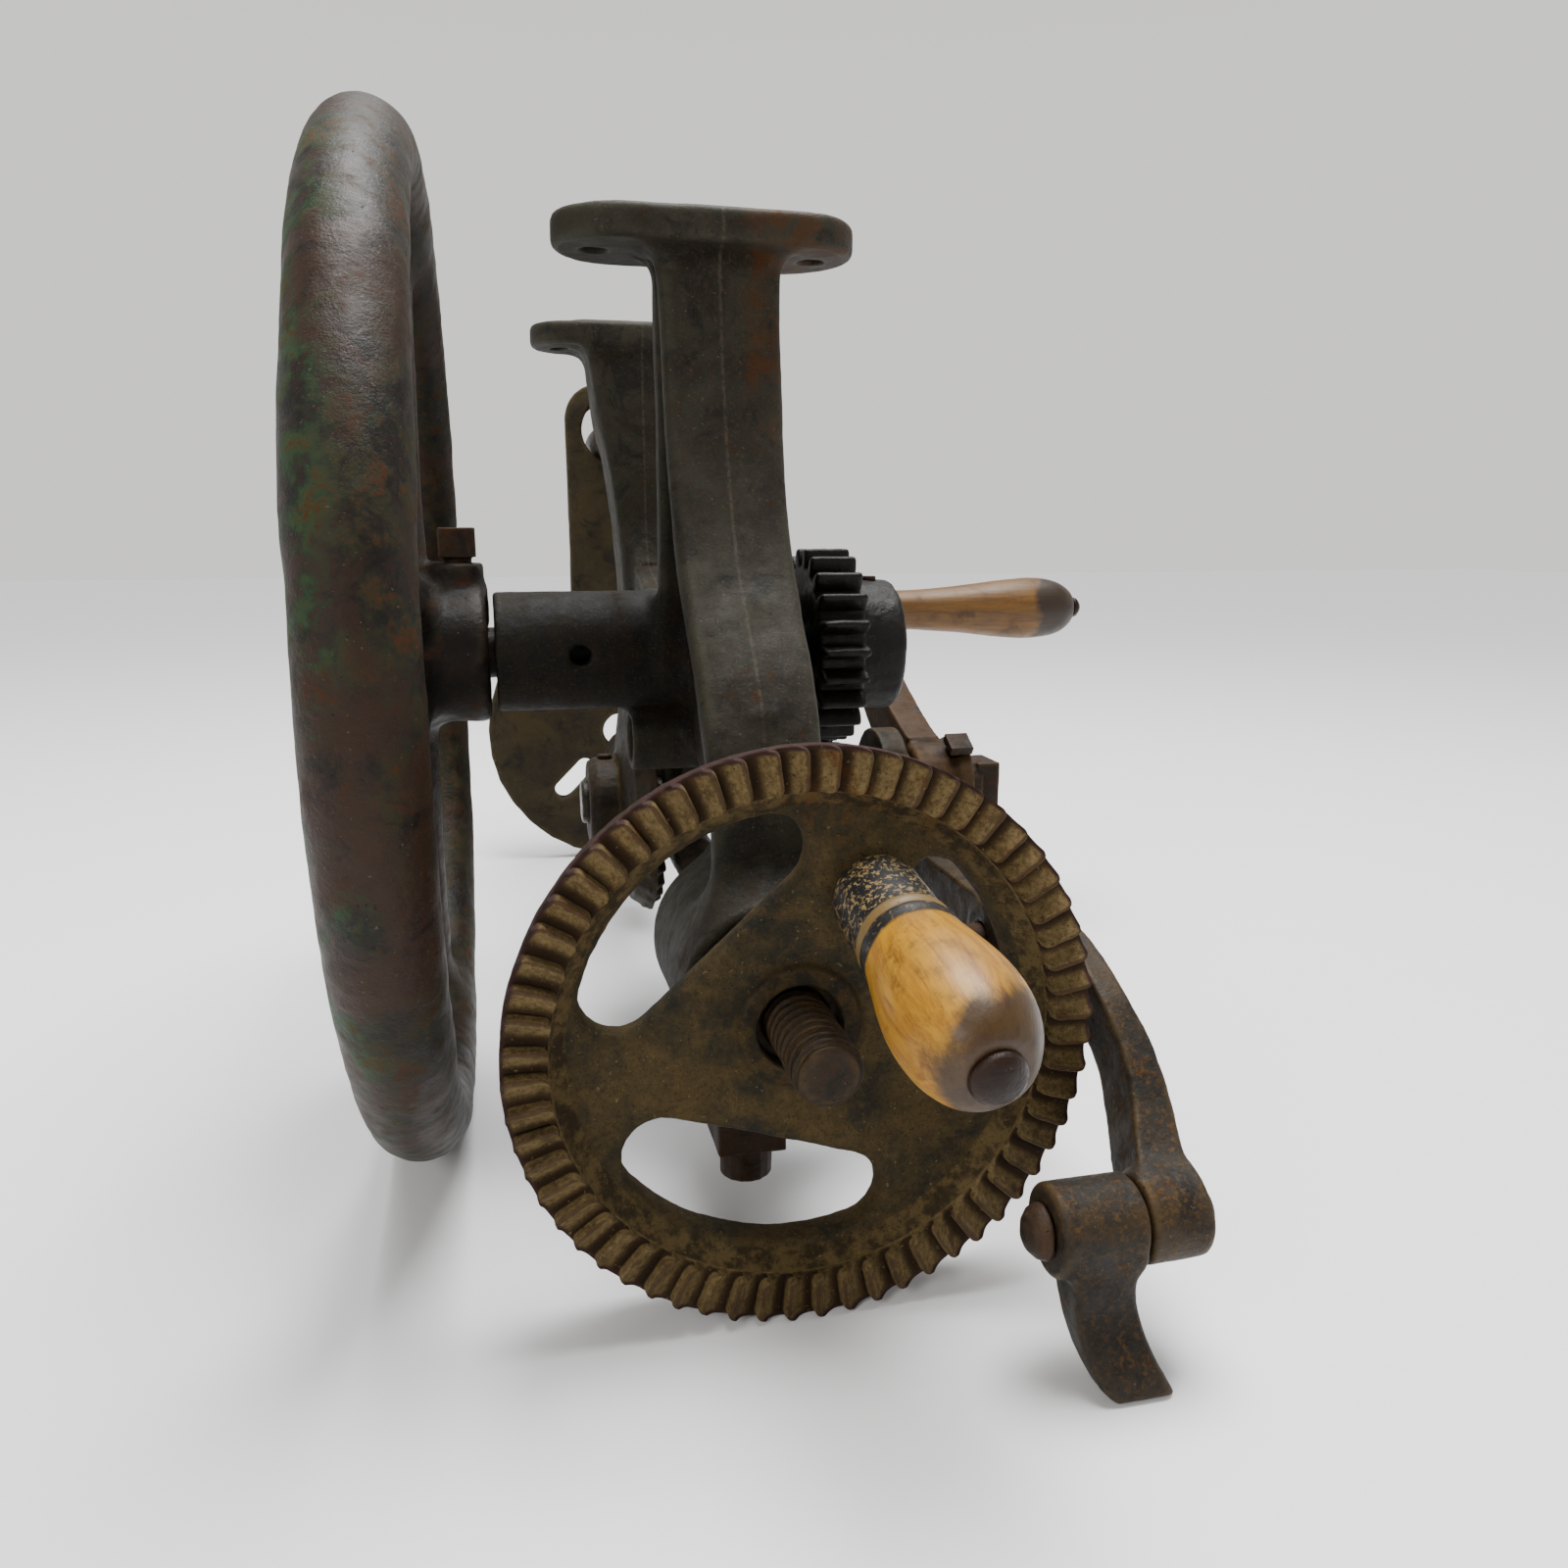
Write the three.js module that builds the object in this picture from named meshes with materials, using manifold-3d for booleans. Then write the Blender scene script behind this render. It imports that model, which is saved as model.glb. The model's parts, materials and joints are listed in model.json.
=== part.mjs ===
// Hand-cranked post drill with flywheel and ratchet feed, lying on its front.
// Millimetres. +X runs along the flywheel shaft from the flywheel to the crank,
// +Y runs down the spindle from the feed wheel to the table, +Z is the normal
// of the two mounting feet. Every piece is laid out from the point where the
// spindle axis meets the feed wheel's tooth crests; the whole drill is then
// placed so that the part's origin is the centre of the upper foot's face.

import * as THREE from 'three';
import * as BufferGeometryUtils from 'three/addons/utils/BufferGeometryUtils.js';
import Module from 'manifold-3d';

const wasm = await Module();
wasm.setup();

// ---------------------------------------------------------------- dimensions

const CLEAR = 0.3;                      // gap between pieces that touch
const RUN = 0.35;                       // radial play of a shaft in its bearing

const FEED_R = 84;                      // feed wheel, outer radius
const FEED_RING_R = 71.5;               // inner edge of the ratchet teeth
const FEED_TEETH = 60;
const FEED_TOOTH_H = 4;
const FEED_RIM_T = 24;                  // depth of the rim band
const FEED_WEB_Y = 13;                  // front of the dished web
const FEED_WEB_T = 8;
const FEED_HUB_R = 18;
const FEED_BORE_R = 12.4;

const SHAFT_Y = 163;                    // flywheel shaft
const SHAFT_Z = 95;
const SHAFT_R = 9.5;
const FLY_X = -111;
const FLY_RIM_R = 164;                  // centre of the rim's round section
const FLY_RIM_SECTION = 15;
const FLY_HUB_R = 25;
const FLY_SPOKES = 5;

const MODULE = 3.175;                   // 8 diametral pitch
const PINION_TEETH = 22;
const BULL_TEETH = 38;
const GEAR_X0 = 37;
const GEAR_X1 = 55.5;
const CENTRES = (MODULE * (PINION_TEETH + BULL_TEETH)) / 2 + 0.15;
const CENTRES_ANGLE = THREE.MathUtils.degToRad(-49.7);
const CRANK_Y = SHAFT_Y + CENTRES * Math.cos(CENTRES_ANGLE);
const CRANK_Z = SHAFT_Z + CENTRES * Math.sin(CENTRES_ANGLE);

const CROWN_R = 50;
const CROWN_TEETH = 30;
const SPUR_TEETH = 12;                  // pinion on the spindle
const SPUR_R = 13.2;

const CRANK_ARM = 140;                  // crankshaft to handle
const CRANK_ANGLE = THREE.MathUtils.degToRad(32);
const CRANK_X = 105;
const CRANK_T = 16;

const FOOT_TOP = 243.5;
const FOOT_T = 11;
const FOOT_L = 105;
const FOOT_D = 48;
const FOOT_X = -3;
const FOOT_HOLE_X = 38;                 // bolt holes, either side of the foot's centre
const NEAR_FOOT_Y = 118;
const FAR_FOOT_Y = 342;

const COLUMN_R = 13.2;
const COLUMN_Z = 198.4;
const COLUMN_Y0 = 362;
const COLUMN_Y1 = 584;

const TABLE_Y = 520;
const TABLE_T = 12;
const TABLE_R = 89;
const TABLE_Z = 5;
const EYE_Z = 205;
const EYE_R = 20;

const SCREW_R = 9.6;
const SCREW_Y0 = -17;
const SCREW_Y1 = 118;
const SPINDLE_R = 10;
const SPINDLE_Y0 = 124;
const NUT_R = 15.5;
const NUT_Y1 = 117.4;
const COLLAR_Y = 104.4;
const COLLAR_T = 11.6;
const SPINDLE_Y1 = 440;

const LEVER_PIVOT = [88, -6];           // Y, Z
const PAWL_PIVOT = [-35, -41.5];        // Y, Z
const STUD_R = 6.5;

// ------------------------------------------------------------------ materials

function iron(color, roughness = 0.7, metalness = 0.55) {
  return new THREE.MeshStandardMaterial({ color, roughness, metalness });
}

// --------------------------------------------------------------- solid helpers

function solid(geometry) {
  const bare = geometry.index ? geometry.toNonIndexed() : geometry.clone();
  bare.deleteAttribute('normal');
  bare.deleteAttribute('uv');
  const merged = BufferGeometryUtils.mergeVertices(bare, 1e-4);
  const vertProperties = new Float32Array(merged.attributes.position.array);
  const triVerts = new Uint32Array(merged.index.array);
  return new wasm.Manifold(new wasm.Mesh({ numProp: 3, vertProperties, triVerts }));
}

function geometryOf(manifold) {
  const mesh = manifold.getMesh();
  const geometry = new THREE.BufferGeometry();
  geometry.setAttribute('position', new THREE.BufferAttribute(new Float32Array(mesh.vertProperties), 3));
  geometry.setIndex(new THREE.BufferAttribute(new Uint32Array(mesh.triVerts), 1));
  geometry.computeVertexNormals();
  return geometry;
}

function join(first, ...rest) {
  return rest.reduce((sum, geometry) => sum.add(solid(geometry)), solid(first));
}

function cut(body, ...tools) {
  return tools.reduce((rest, tool) => rest.subtract(solid(tool)), body);
}

function ontoX(geometry) {              // local +Y axis of revolution to +X
  return geometry.rotateZ(-Math.PI / 2);
}

function ontoZ(geometry) {
  return geometry.rotateX(Math.PI / 2);
}

function lathe(points, segments = 24) { // points are [radius, distance along Y]
  return new THREE.LatheGeometry(points.map(([r, t]) => new THREE.Vector2(r, t)), segments);
}

function barY(r, y0, y1, segments = 24) {
  const geometry = new THREE.CylinderGeometry(r, r, y1 - y0, segments);
  return geometry.translate(0, (y0 + y1) / 2, 0);
}

function barX(r, x0, x1, segments = 24) {
  return ontoX(barY(r, x0, x1, segments));
}

function barZ(r, z0, z1, segments = 24) {
  return ontoZ(barY(r, z0, z1, segments));
}

function tubeY(rOut, rIn, y0, y1, segments = 24) {
  return lathe([[rIn, y0], [rOut, y0], [rOut, y1], [rIn, y1], [rIn, y0]], segments);
}

function box(x0, x1, y0, y1, z0, z1) {
  const geometry = new THREE.BoxGeometry(x1 - x0, y1 - y0, z1 - z0);
  return geometry.translate((x0 + x1) / 2, (y0 + y1) / 2, (z0 + z1) / 2);
}

function extrude(shape, depth, curveSegments = 12) {
  return new THREE.ExtrudeGeometry(shape, { depth, bevelEnabled: false, curveSegments });
}

function plateX(shape, x0, x1, curveSegments = 8) { // shape in (Y, Z)
  const geometry = extrude(shape, x1 - x0, curveSegments);
  const basis = new THREE.Matrix4().makeBasis(
    new THREE.Vector3(0, 1, 0), new THREE.Vector3(0, 0, 1), new THREE.Vector3(1, 0, 0));
  return geometry.applyMatrix4(basis).translate(x0, 0, 0);
}

function plateY(shape, y0, y1, curveSegments = 12) { // shape in (X, Z)
  return extrude(shape, y1 - y0, curveSegments).rotateX(Math.PI / 2).translate(0, y1, 0);
}

function plateZ(shape, z0, z1, curveSegments = 7) { // shape in (X, Y)
  return extrude(shape, z1 - z0, curveSegments).translate(0, 0, z0);
}

function outline(points) {
  return new THREE.Shape(points.map(([u, v]) => new THREE.Vector2(u, v)));
}

function capsule(length, width) {       // a bar with round ends, centred, along u
  const r = width / 2;
  const half = length / 2 - r;
  const shape = new THREE.Shape();
  shape.absarc(half, 0, r, -Math.PI / 2, Math.PI / 2);
  shape.absarc(-half, 0, r, Math.PI / 2, (3 * Math.PI) / 2);
  shape.closePath();
  return shape;
}

// A bar of rectangular section along a path of stations
// [y, z, half width, x offset], whose depth lies behind the front path.
function strap(stations, depth) {
  const positions = [];
  const index = [];
  stations.forEach(([y, z, half, x = 0], i) => {
    const before = stations[Math.max(i - 1, 0)];
    const after = stations[Math.min(i + 1, stations.length - 1)];
    const along = new THREE.Vector2(after[0] - before[0], after[1] - before[1]).normalize();
    const back = new THREE.Vector2(-along.y, along.x);
    const corners = [[-half, 0], [half, 0], [half, depth], [-half, depth]];
    corners.forEach(([u, d]) => positions.push(x + u, y + back.x * d, z + back.y * d));
  });
  for (let i = 0; i < stations.length - 1; i += 1) {
    for (let k = 0; k < 4; k += 1) {
      const a = 4 * i + k;
      const b = 4 * i + ((k + 1) % 4);
      index.push(a, b + 4, b, a, a + 4, b + 4);
    }
  }
  const last = 4 * (stations.length - 1);
  index.push(0, 1, 2, 0, 2, 3, last, last + 2, last + 1, last, last + 3, last + 2);
  const geometry = new THREE.BufferGeometry();
  geometry.setAttribute('position', new THREE.Float32BufferAttribute(positions, 3));
  geometry.setIndex(index);
  return geometry;
}

// ------------------------------------------------------------------ spur gears

function involute(angle) {
  return Math.tan(angle) - angle;
}

function gearOutline(teeth, firstTooth, thinning = 0.35) {
  const pitchR = (MODULE * teeth) / 2;
  const baseR = pitchR * Math.cos(THREE.MathUtils.degToRad(20));
  const tipR = pitchR + MODULE * 0.97;
  const rootR = pitchR - 1.25 * MODULE;
  const atPitch = Math.PI / (2 * teeth) - thinning / (2 * pitchR) + involute(Math.acos(baseR / pitchR));
  const halfAngle = (r) => (r < baseR ? atPitch : atPitch - involute(Math.acos(baseR / r)));
  const flank = [rootR, pitchR, tipR];
  const points = [];
  for (let i = 0; i < teeth; i += 1) {
    const middle = firstTooth + (i * 2 * Math.PI) / teeth;
    const rising = flank.map((r) => [r, middle - halfAngle(r)]);
    const falling = flank.map((r) => [r, middle + halfAngle(r)]).reverse();
    [...rising, ...falling].forEach(([r, a]) => points.push([r * Math.cos(a), r * Math.sin(a)]));
  }
  return outline(points);
}

// ---------------------------------------------------------------- scene graph

const drill = new THREE.Group();
const flywheelGroup = new THREE.Group();
flywheelGroup.position.set(0, SHAFT_Y, SHAFT_Z);
const crankGroup = new THREE.Group();
crankGroup.position.set(0, CRANK_Y, CRANK_Z);
const leverGroup = new THREE.Group();
const pawlGroup = new THREE.Group();
pawlGroup.position.set(0, PAWL_PIVOT[0], PAWL_PIVOT[1]);
drill.add(flywheelGroup, crankGroup, leverGroup, pawlGroup);

function place(parent, name, shape, material) {
  const geometry = shape.isBufferGeometry ? shape : geometryOf(shape);
  const mesh = new THREE.Mesh(geometry, material);
  mesh.name = name;
  parent.add(mesh);
  return mesh;
}

// ---------------------------------------------------------------- main casting

// Front path of the near arm, from its foot down to the feed boss.
const NEAR_ARM = [
  [128, FOOT_TOP - 4, 21.5], [125, 215, 21], [121, 185, 20.6], [114, 159, 20.2],
  [103, 133, 19.8], [89, 115, 19.6], [75, 100, 19.4], [65, 86, 19], [58, 72, 18.6],
  [53, 56, 18.2], [50, 38, 18], [49, 16, 18], [49, -6, 18],
];

// Front path of the far arm, wide at its foot and narrow at the spine.
const FAR_ARM = [
  [346, FOOT_TOP - 4, 29], [346, 212, 26], [346, 190, 22], [346, 164, 18],
  [346, 136, 14.5], [346, 108, 12.5], [346, 60, 12.5], [346, 0, 12.5],
];

function foot(y0) {
  const plan = capsule(FOOT_L, FOOT_D);
  return plateZ(plan, FOOT_TOP - FOOT_T, FOOT_TOP).translate(FOOT_X, y0 + FOOT_D / 2, 0);
}

function footHole(y0, side) {
  const hole = barZ(4.5, FOOT_TOP - 60, FOOT_TOP + 5, 12);
  return hole.translate(FOOT_X + side * FOOT_HOLE_X, y0 + FOOT_D / 2, 0);
}

function filletBlock(y0, half, arm) {    // concave gusset between a foot and its arm
  const z = FOOT_TOP - FOOT_T + 1;
  const r = 13;
  const left = new THREE.Shape();
  left.moveTo(-half - r, z);
  left.absarc(-half - r, z - r, r, Math.PI / 2, 0, true);
  left.lineTo(half, z - r);
  left.absarc(half + r, z - r, r, Math.PI, Math.PI / 2, true);
  left.closePath();
  return plateY(left, y0, y0 + arm, 6);
}

function mainCasting() {
  const spine = outline([
    [72, 92], [92, 112], [128, 128], [150, 122], [200, 116], [300, 112], [338, 122],
    [350, 140], [386, 140], [386, 6], [350, 6], [330, 40], [300, 62], [262, 64],
    [250, 26], [200, 22], [186, 46], [150, 56], [112, 40], [96, 24], [60, 10], [60, 60],
  ]);
  let body = join(
    strap(NEAR_ARM, 30),
    strap(FAR_ARM, 40),
    foot(NEAR_FOOT_Y),
    foot(FAR_FOOT_Y),
    filletBlock(128.5, 20, 28),
    filletBlock(346.5, 27, 38),
    plateX(spine, -8, 8),
    barX(22.2, -80.3, 33.5, 24).translate(0, SHAFT_Y, SHAFT_Z),
    barX(19, -11, 33.5, 24).translate(0, CRANK_Y, CRANK_Z),
    barX(13, -31, 4, 20).translate(0, 165, 60.5),
    barY(31, 38, 104, 28),
    barY(22, 345, 402, 24),
    barY(21, 353, 404, 24).translate(0, 0, COLUMN_Z),
    barX(13, 12, 40, 20).translate(0, LEVER_PIVOT[0], LEVER_PIVOT[1]),
    box(-22, 6, 45, 67, -38, -20),
  );
  // channel down the back of each arm
  const channelNear = NEAR_ARM.slice(1, 6).map(([y, z, half]) => [y + 12, z - 2, half - 9]);
  const channelFar = FAR_ARM.slice(1, 5).map(([y, z]) => [y + 26, z - 4, 6.5]);
  body = cut(
    body,
    strap(channelNear, 40),
    strap(channelFar.slice(2), 40),
    barX(SHAFT_R + RUN, -90, 40, 24).translate(0, SHAFT_Y, SHAFT_Z),
    barX(SHAFT_R + RUN, -40, 40, 24).translate(0, CRANK_Y, CRANK_Z),
    barX(9.5, -40, -12, 20).translate(0, 165, 60.5),
    barY(NUT_R + RUN, 30, 112, 24),
    barY(SPINDLE_R + RUN, 112, 410, 24),
    barY(17, 104, 341, 20),
    barY(COLUMN_R + CLEAR, COLUMN_Y0 - CLEAR, 420, 24).translate(0, 0, COLUMN_Z),
    barX(STUD_R + CLEAR, 19, 60, 20).translate(0, LEVER_PIVOT[0], LEVER_PIVOT[1]),
    barZ(5 + CLEAR, -60, -26, 16).translate(-8, 56, 0),
    barY(3.6, 100, SHAFT_Y - 4, 12).translate(-50, 0, SHAFT_Z),
    barZ(3, CRANK_Z, CRANK_Z + 60, 12).translate(20, CRANK_Y, 0),
    footHole(NEAR_FOOT_Y, -1),
    footHole(NEAR_FOOT_Y, 1),
    footHole(FAR_FOOT_Y, -1),
    footHole(FAR_FOOT_Y, 1),
  );
  return body;
}

place(drill, 'frame', mainCasting(), iron(0x46443c, 0.75));
const column = barY(COLUMN_R, COLUMN_Y0, COLUMN_Y1, 24).translate(0, 0, COLUMN_Z);
place(drill, 'column', column, iron(0x4a4236, 0.6));

// -------------------------------------------------- square-head clamp bolt below

function squareHead(half, z0, z1) {
  return box(-half, half, -half, half, z0, z1);
}

const bossBolt = join(barZ(5, -56, -26.5, 16), barZ(8.6, -66.5, -55.3, 16));
place(drill, 'boss_bolt', bossBolt, iron(0x3f3628)).position.set(-8, 56, 0);
const bossNut = cut(solid(squareHead(11, -55, -38.4)), barZ(5 + CLEAR, -60, -20, 16));
place(drill, 'boss_nut', bossNut, iron(0x4a3c28)).position.set(-8, 56, 0);

// ------------------------------------------------------------------ feed wheel

function ratchetRing() {                 // steep faces look clockwise from the front
  const positions = [];
  const index = [];
  const back = 9;
  const step = (2 * Math.PI) / FEED_TEETH;
  const stations = [];
  for (let i = 0; i < FEED_TEETH; i += 1) {
    stations.push([i * step, FEED_TOOTH_H], [(i + 0.1) * step, 0]);
  }
  stations.forEach(([angle, front]) => {
    const section = [[FEED_RING_R, front], [FEED_R, front], [FEED_R, back], [FEED_RING_R, back]];
    section.forEach(([r, y]) => positions.push(r * Math.cos(angle), y, r * Math.sin(angle)));
  });
  const count = stations.length;
  for (let i = 0; i < count; i += 1) {
    for (let k = 0; k < 4; k += 1) {
      const a = 4 * i + k;
      const b = 4 * i + ((k + 1) % 4);
      const c = 4 * ((i + 1) % count) + ((k + 1) % 4);
      const d = 4 * ((i + 1) % count) + k;
      index.push(a, b, c, a, c, d);
    }
  }
  const geometry = new THREE.BufferGeometry();
  geometry.setAttribute('position', new THREE.Float32BufferAttribute(positions, 3));
  geometry.setIndex(index);
  return geometry;
}

// The handle leans inward from its seat on the wheel's web.
const GRIP_BASE = new THREE.Vector3(18.4, 6.8, 41.8);
const GRIP_AXIS = new THREE.Vector3(3.4, -80, -18.4).normalize();
const gripTurn = new THREE.Quaternion().setFromUnitVectors(new THREE.Vector3(0, 1, 0), GRIP_AXIS);

function alongGrip(geometry) {
  return geometry.applyQuaternion(gripTurn).translate(GRIP_BASE.x, GRIP_BASE.y, GRIP_BASE.z);
}

// A window between two spokes: round outside, straight inside.
function feedWindow(middleDeg) {
  const middle = THREE.MathUtils.degToRad(middleDeg);
  const corner = 11;
  const cornerAt = [45.5, 28.5];
  const turn = Math.atan2(cornerAt[1], cornerAt[0]);
  const rOut = Math.hypot(cornerAt[0], cornerAt[1]) + corner;
  const shape = new THREE.Shape();
  shape.absarc(0, 0, rOut, -turn, turn);
  shape.absarc(cornerAt[0], cornerAt[1], corner, turn, Math.PI);
  shape.absarc(cornerAt[0], -cornerAt[1], corner, Math.PI, 2 * Math.PI - turn);
  shape.closePath();
  return plateY(shape, -5, 60, 6).applyMatrix4(new THREE.Matrix4().makeRotationY(-middle));
}

function feedWheel() {
  const web0 = FEED_WEB_Y;
  const web1 = FEED_WEB_Y + FEED_WEB_T;
  const section = lathe([
    [0, web0 + 2], [FEED_HUB_R, web0 + 2], [FEED_HUB_R + 1, web0 + 4], [30, web0 + 2],
    [56, web0 - 0.5], [66.5, 10.5], [FEED_RING_R - 0.5, 5.5], [FEED_RING_R, 5],
    [FEED_R - 0.4, 5], [FEED_R - 0.4, 11], [FEED_R - 4, FEED_RIM_T],
    [FEED_R - 10, FEED_RIM_T], [FEED_R - 12, web1 + 1],
    [30, web1 + 1], [26, 35], [0, 35],
  ], 40);
  const boss = lathe([[0, 10.5], [11, 10.5], [14.5, 15], [0, 15]], 20);
  boss.translate(17.5, 0, 43);
  let wheel = join(section, ratchetRing(), boss);
  wheel = cut(
    wheel,
    feedWindow(132), feedWindow(252), feedWindow(12),
    barY(FEED_BORE_R, 0, 22, 24),
    barY(NUT_R + CLEAR, 21, 60, 24),
    alongGrip(barY(4 + CLEAR, -20, 20, 16)),
  );
  return wheel;
}

place(drill, 'feed_wheel', feedWheel(), iron(0x6e5a3a, 0.85, 0.35));

// The nut turns with the wheel; it is shouldered in the wheel's hub and runs in
// the frame's boss, and a set collar holds its far end.
const feedNut = lathe([
  [SCREW_R + RUN, 21 + CLEAR], [NUT_R, 21 + CLEAR], [NUT_R, NUT_Y1],
  [SCREW_R + RUN, NUT_Y1], [SCREW_R + RUN, 21 + CLEAR],
], 24);
place(drill, 'feed_nut', feedNut, iron(0x5a4a30, 0.6));
const nutCollar = cut(
  solid(tubeY(23, NUT_R + CLEAR, COLLAR_Y, COLLAR_Y + COLLAR_T, 24)),
  barZ(3.2 + CLEAR, 13, 30, 12).translate(0, COLLAR_Y + COLLAR_T / 2, 0),
);
place(drill, 'nut_collar', nutCollar, iron(0x4a4236));
const collarScrew = join(barZ(3.2, 16.2, 24, 12), squareHead(4, 23.5, 29.5));
place(drill, 'nut_collar_screw', collarScrew, iron(0x4a4236)).position.set(0, COLLAR_Y + COLLAR_T / 2, 0);

// ----------------------------------------------------------- feed wheel handle

const FEED_GRIP = [
  [11.4, 1], [12.6, 3], [12.9, 14], [13.2, 24], [13.9, 26], [14.2, 30], [15.2, 36],
  [17.4, 46], [18.4, 55], [18.2, 63], [16.8, 71], [13.6, 77.5], [9.4, 80.4],
];

function woodenGrip(profile, bore) {
  const first = profile[0];
  const last = profile[profile.length - 1];
  return lathe([[bore, first[1]], ...profile, [bore, last[1]], [bore, first[1]]], 24);
}

const feedGrip = woodenGrip(FEED_GRIP, 4.4);
const feedGripMesh = place(drill, 'feed_grip', feedGrip, iron(0xb07a30, 0.45, 0));
const feedGripBolt = join(
  barY(4, -12, 83, 16),
  lathe([[0, 81], [6.4, 81], [6.4, 83], [5.2, 85], [3, 86.2], [0, 86.6]], 28),
);
const feedBoltMesh = place(drill, 'feed_grip_bolt', feedGripBolt, iron(0x3a302a, 0.5));
[feedGripMesh, feedBoltMesh].forEach((mesh) => {
  mesh.position.copy(GRIP_BASE);
  mesh.quaternion.copy(gripTurn);
});

// ----------------------------------------------------------- screw and spindle

const screwEnd = lathe([
  [0, SCREW_Y0], [SCREW_R - 1.6, SCREW_Y0], [SCREW_R, SCREW_Y0 + 1.6],
  [SCREW_R, SCREW_Y1], [7, SCREW_Y1], [7, SCREW_Y1 + 2], [0, SCREW_Y1 + 2],
], 20);
place(drill, 'feed_screw', screwEnd, iron(0x4c3e28, 0.7));
const washer = tubeY(14, 7 + CLEAR, SCREW_Y1 + CLEAR, SCREW_Y1 + 3.4, 20);
place(drill, 'thrust_washer', washer, iron(0x4a4a48, 0.4));

const spindleBody = lathe([
  [0, SPINDLE_Y0], [SPINDLE_R, SPINDLE_Y0], [SPINDLE_R, SPINDLE_Y1 - 22],
  [7.9, SPINDLE_Y1 - 22], [7.9, SPINDLE_Y1], [0, SPINDLE_Y1],
], 24);
place(drill, 'spindle', spindleBody, iron(0x55504a, 0.45));

const chuckSection = lathe([
  [0, SPINDLE_Y1 - 22 + CLEAR], [15, SPINDLE_Y1 - 22 + CLEAR], [17, SPINDLE_Y1 - 18],
  [17, SPINDLE_Y1 + 16], [14.5, SPINDLE_Y1 + 21], [0, SPINDLE_Y1 + 21],
], 24);
const chuck = cut(
  solid(chuckSection),
  barY(7.9 + CLEAR, SPINDLE_Y1 - 30, SPINDLE_Y1 + CLEAR, 24),
  barY(6.4, SPINDLE_Y1 - 5, SPINDLE_Y1 + 40, 16),
  barX(3.2 + CLEAR, 0, 30, 12).translate(0, SPINDLE_Y1 + 12, 0),
);
place(drill, 'chuck', chuck, iron(0x45403a, 0.5));
const chuckScrew = join(barX(3.2, 7, 20, 12), ontoX(new THREE.BoxGeometry(8, 6, 8).translate(0, 22.5, 0)));
place(drill, 'chuck_screw', chuckScrew, iron(0x3a342c)).position.set(0, SPINDLE_Y1 + 12, 0);

// Spindle pinion: the crown gear drives it, and the spindle slides through it.
function spindlePinion() {
  const points = [];
  const step = (2 * Math.PI) / SPUR_TEETH;
  for (let i = 0; i < SPUR_TEETH; i += 1) {
    const tooth = [[SPUR_R - 3, -0.34], [SPUR_R, -0.17], [SPUR_R, 0.17], [SPUR_R - 3, 0.34]];
    tooth.forEach(([r, part]) => {
      const a = (i + part) * step;
      points.push([r * Math.cos(a), r * Math.sin(a)]);
    });
  }
  const blank = plateY(outline(points), 252, 276);
  return cut(join(blank, barY(14.4, 275, 286, 20)), barY(SPINDLE_R + RUN, 240, 300, 24));
}

place(drill, 'spindle_pinion', spindlePinion(), iron(0x35302a));

// -------------------------------------------------------- flywheel and its shaft

function flywheel() {
  const ring = lathe(
    Array.from({ length: 11 }, (_, i) => {
      const a = (i / 10) * 2 * Math.PI;
      return [FLY_RIM_R + FLY_RIM_SECTION * Math.cos(a), FLY_RIM_SECTION * Math.sin(a)];
    }),
    48,
  );
  const hub = lathe([
    [0, -14], [22, -14], [FLY_HUB_R, -11], [FLY_HUB_R, 25], [22.5, 28.2], [0, 28.2],
  ], 24);
  const parts = [ontoX(ring), ontoX(hub)];
  for (let i = 0; i < FLY_SPOKES; i += 1) {
    const spoke = new THREE.CylinderGeometry(9.5, 12.5, FLY_RIM_R - 16, 8);
    spoke.scale(0.62, 1, 1);
    spoke.translate(0, 16 + (FLY_RIM_R - 16) / 2, 0);
    parts.push(spoke.applyMatrix4(new THREE.Matrix4().makeRotationX((i * 2 * Math.PI) / FLY_SPOKES)));
  }
  parts.push(barZ(9, 10, 33, 16).translate(19, 0, 0));
  let wheel = join(...parts);
  wheel = cut(wheel, barX(SHAFT_R + CLEAR, -40, 50, 24), barZ(5 + CLEAR, 5, 50, 16).translate(19, 0, 0));
  return wheel;
}

place(flywheelGroup, 'flywheel', flywheel(), iron(0x4d4a44, 0.55)).position.x = FLY_X;
const flyScrew = join(barZ(5, SHAFT_R + CLEAR, 36, 16), squareHead(6.5, 35, 45.5));
place(flywheelGroup, 'flywheel_screw', flyScrew, iron(0x38342c)).position.x = FLY_X + 19;
place(flywheelGroup, 'flywheel_shaft', barX(SHAFT_R, -128, 75.5, 24), iron(0x3a3632, 0.45));

function drivePinion() {
  const teeth = plateX(gearOutline(PINION_TEETH, CENTRES_ANGLE), GEAR_X0, GEAR_X1);
  const hub = ontoX(lathe([[0, 53], [25.6, 53], [25.6, 71.5], [23.5, 73.5], [0, 73.5]], 40));
  const pinHole = barZ(3 + CLEAR, -40, 40, 12).translate(65, 0, 0);
  return cut(join(teeth, hub), barX(SHAFT_R + CLEAR, 30, 90, 24), pinHole);
}

place(flywheelGroup, 'drive_pinion', drivePinion(), iron(0x24211d, 0.45));
const pinHalf = barZ(3, SHAFT_R + CLEAR, 27, 12);
place(flywheelGroup, 'pinion_pin', pinHalf, iron(0x3a3632)).position.x = 65;

// ------------------------------------------------------------ crankshaft pieces

place(crankGroup, 'crankshaft', barX(SHAFT_R, -47, 136, 24), iron(0x3c372f, 0.5));

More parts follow.
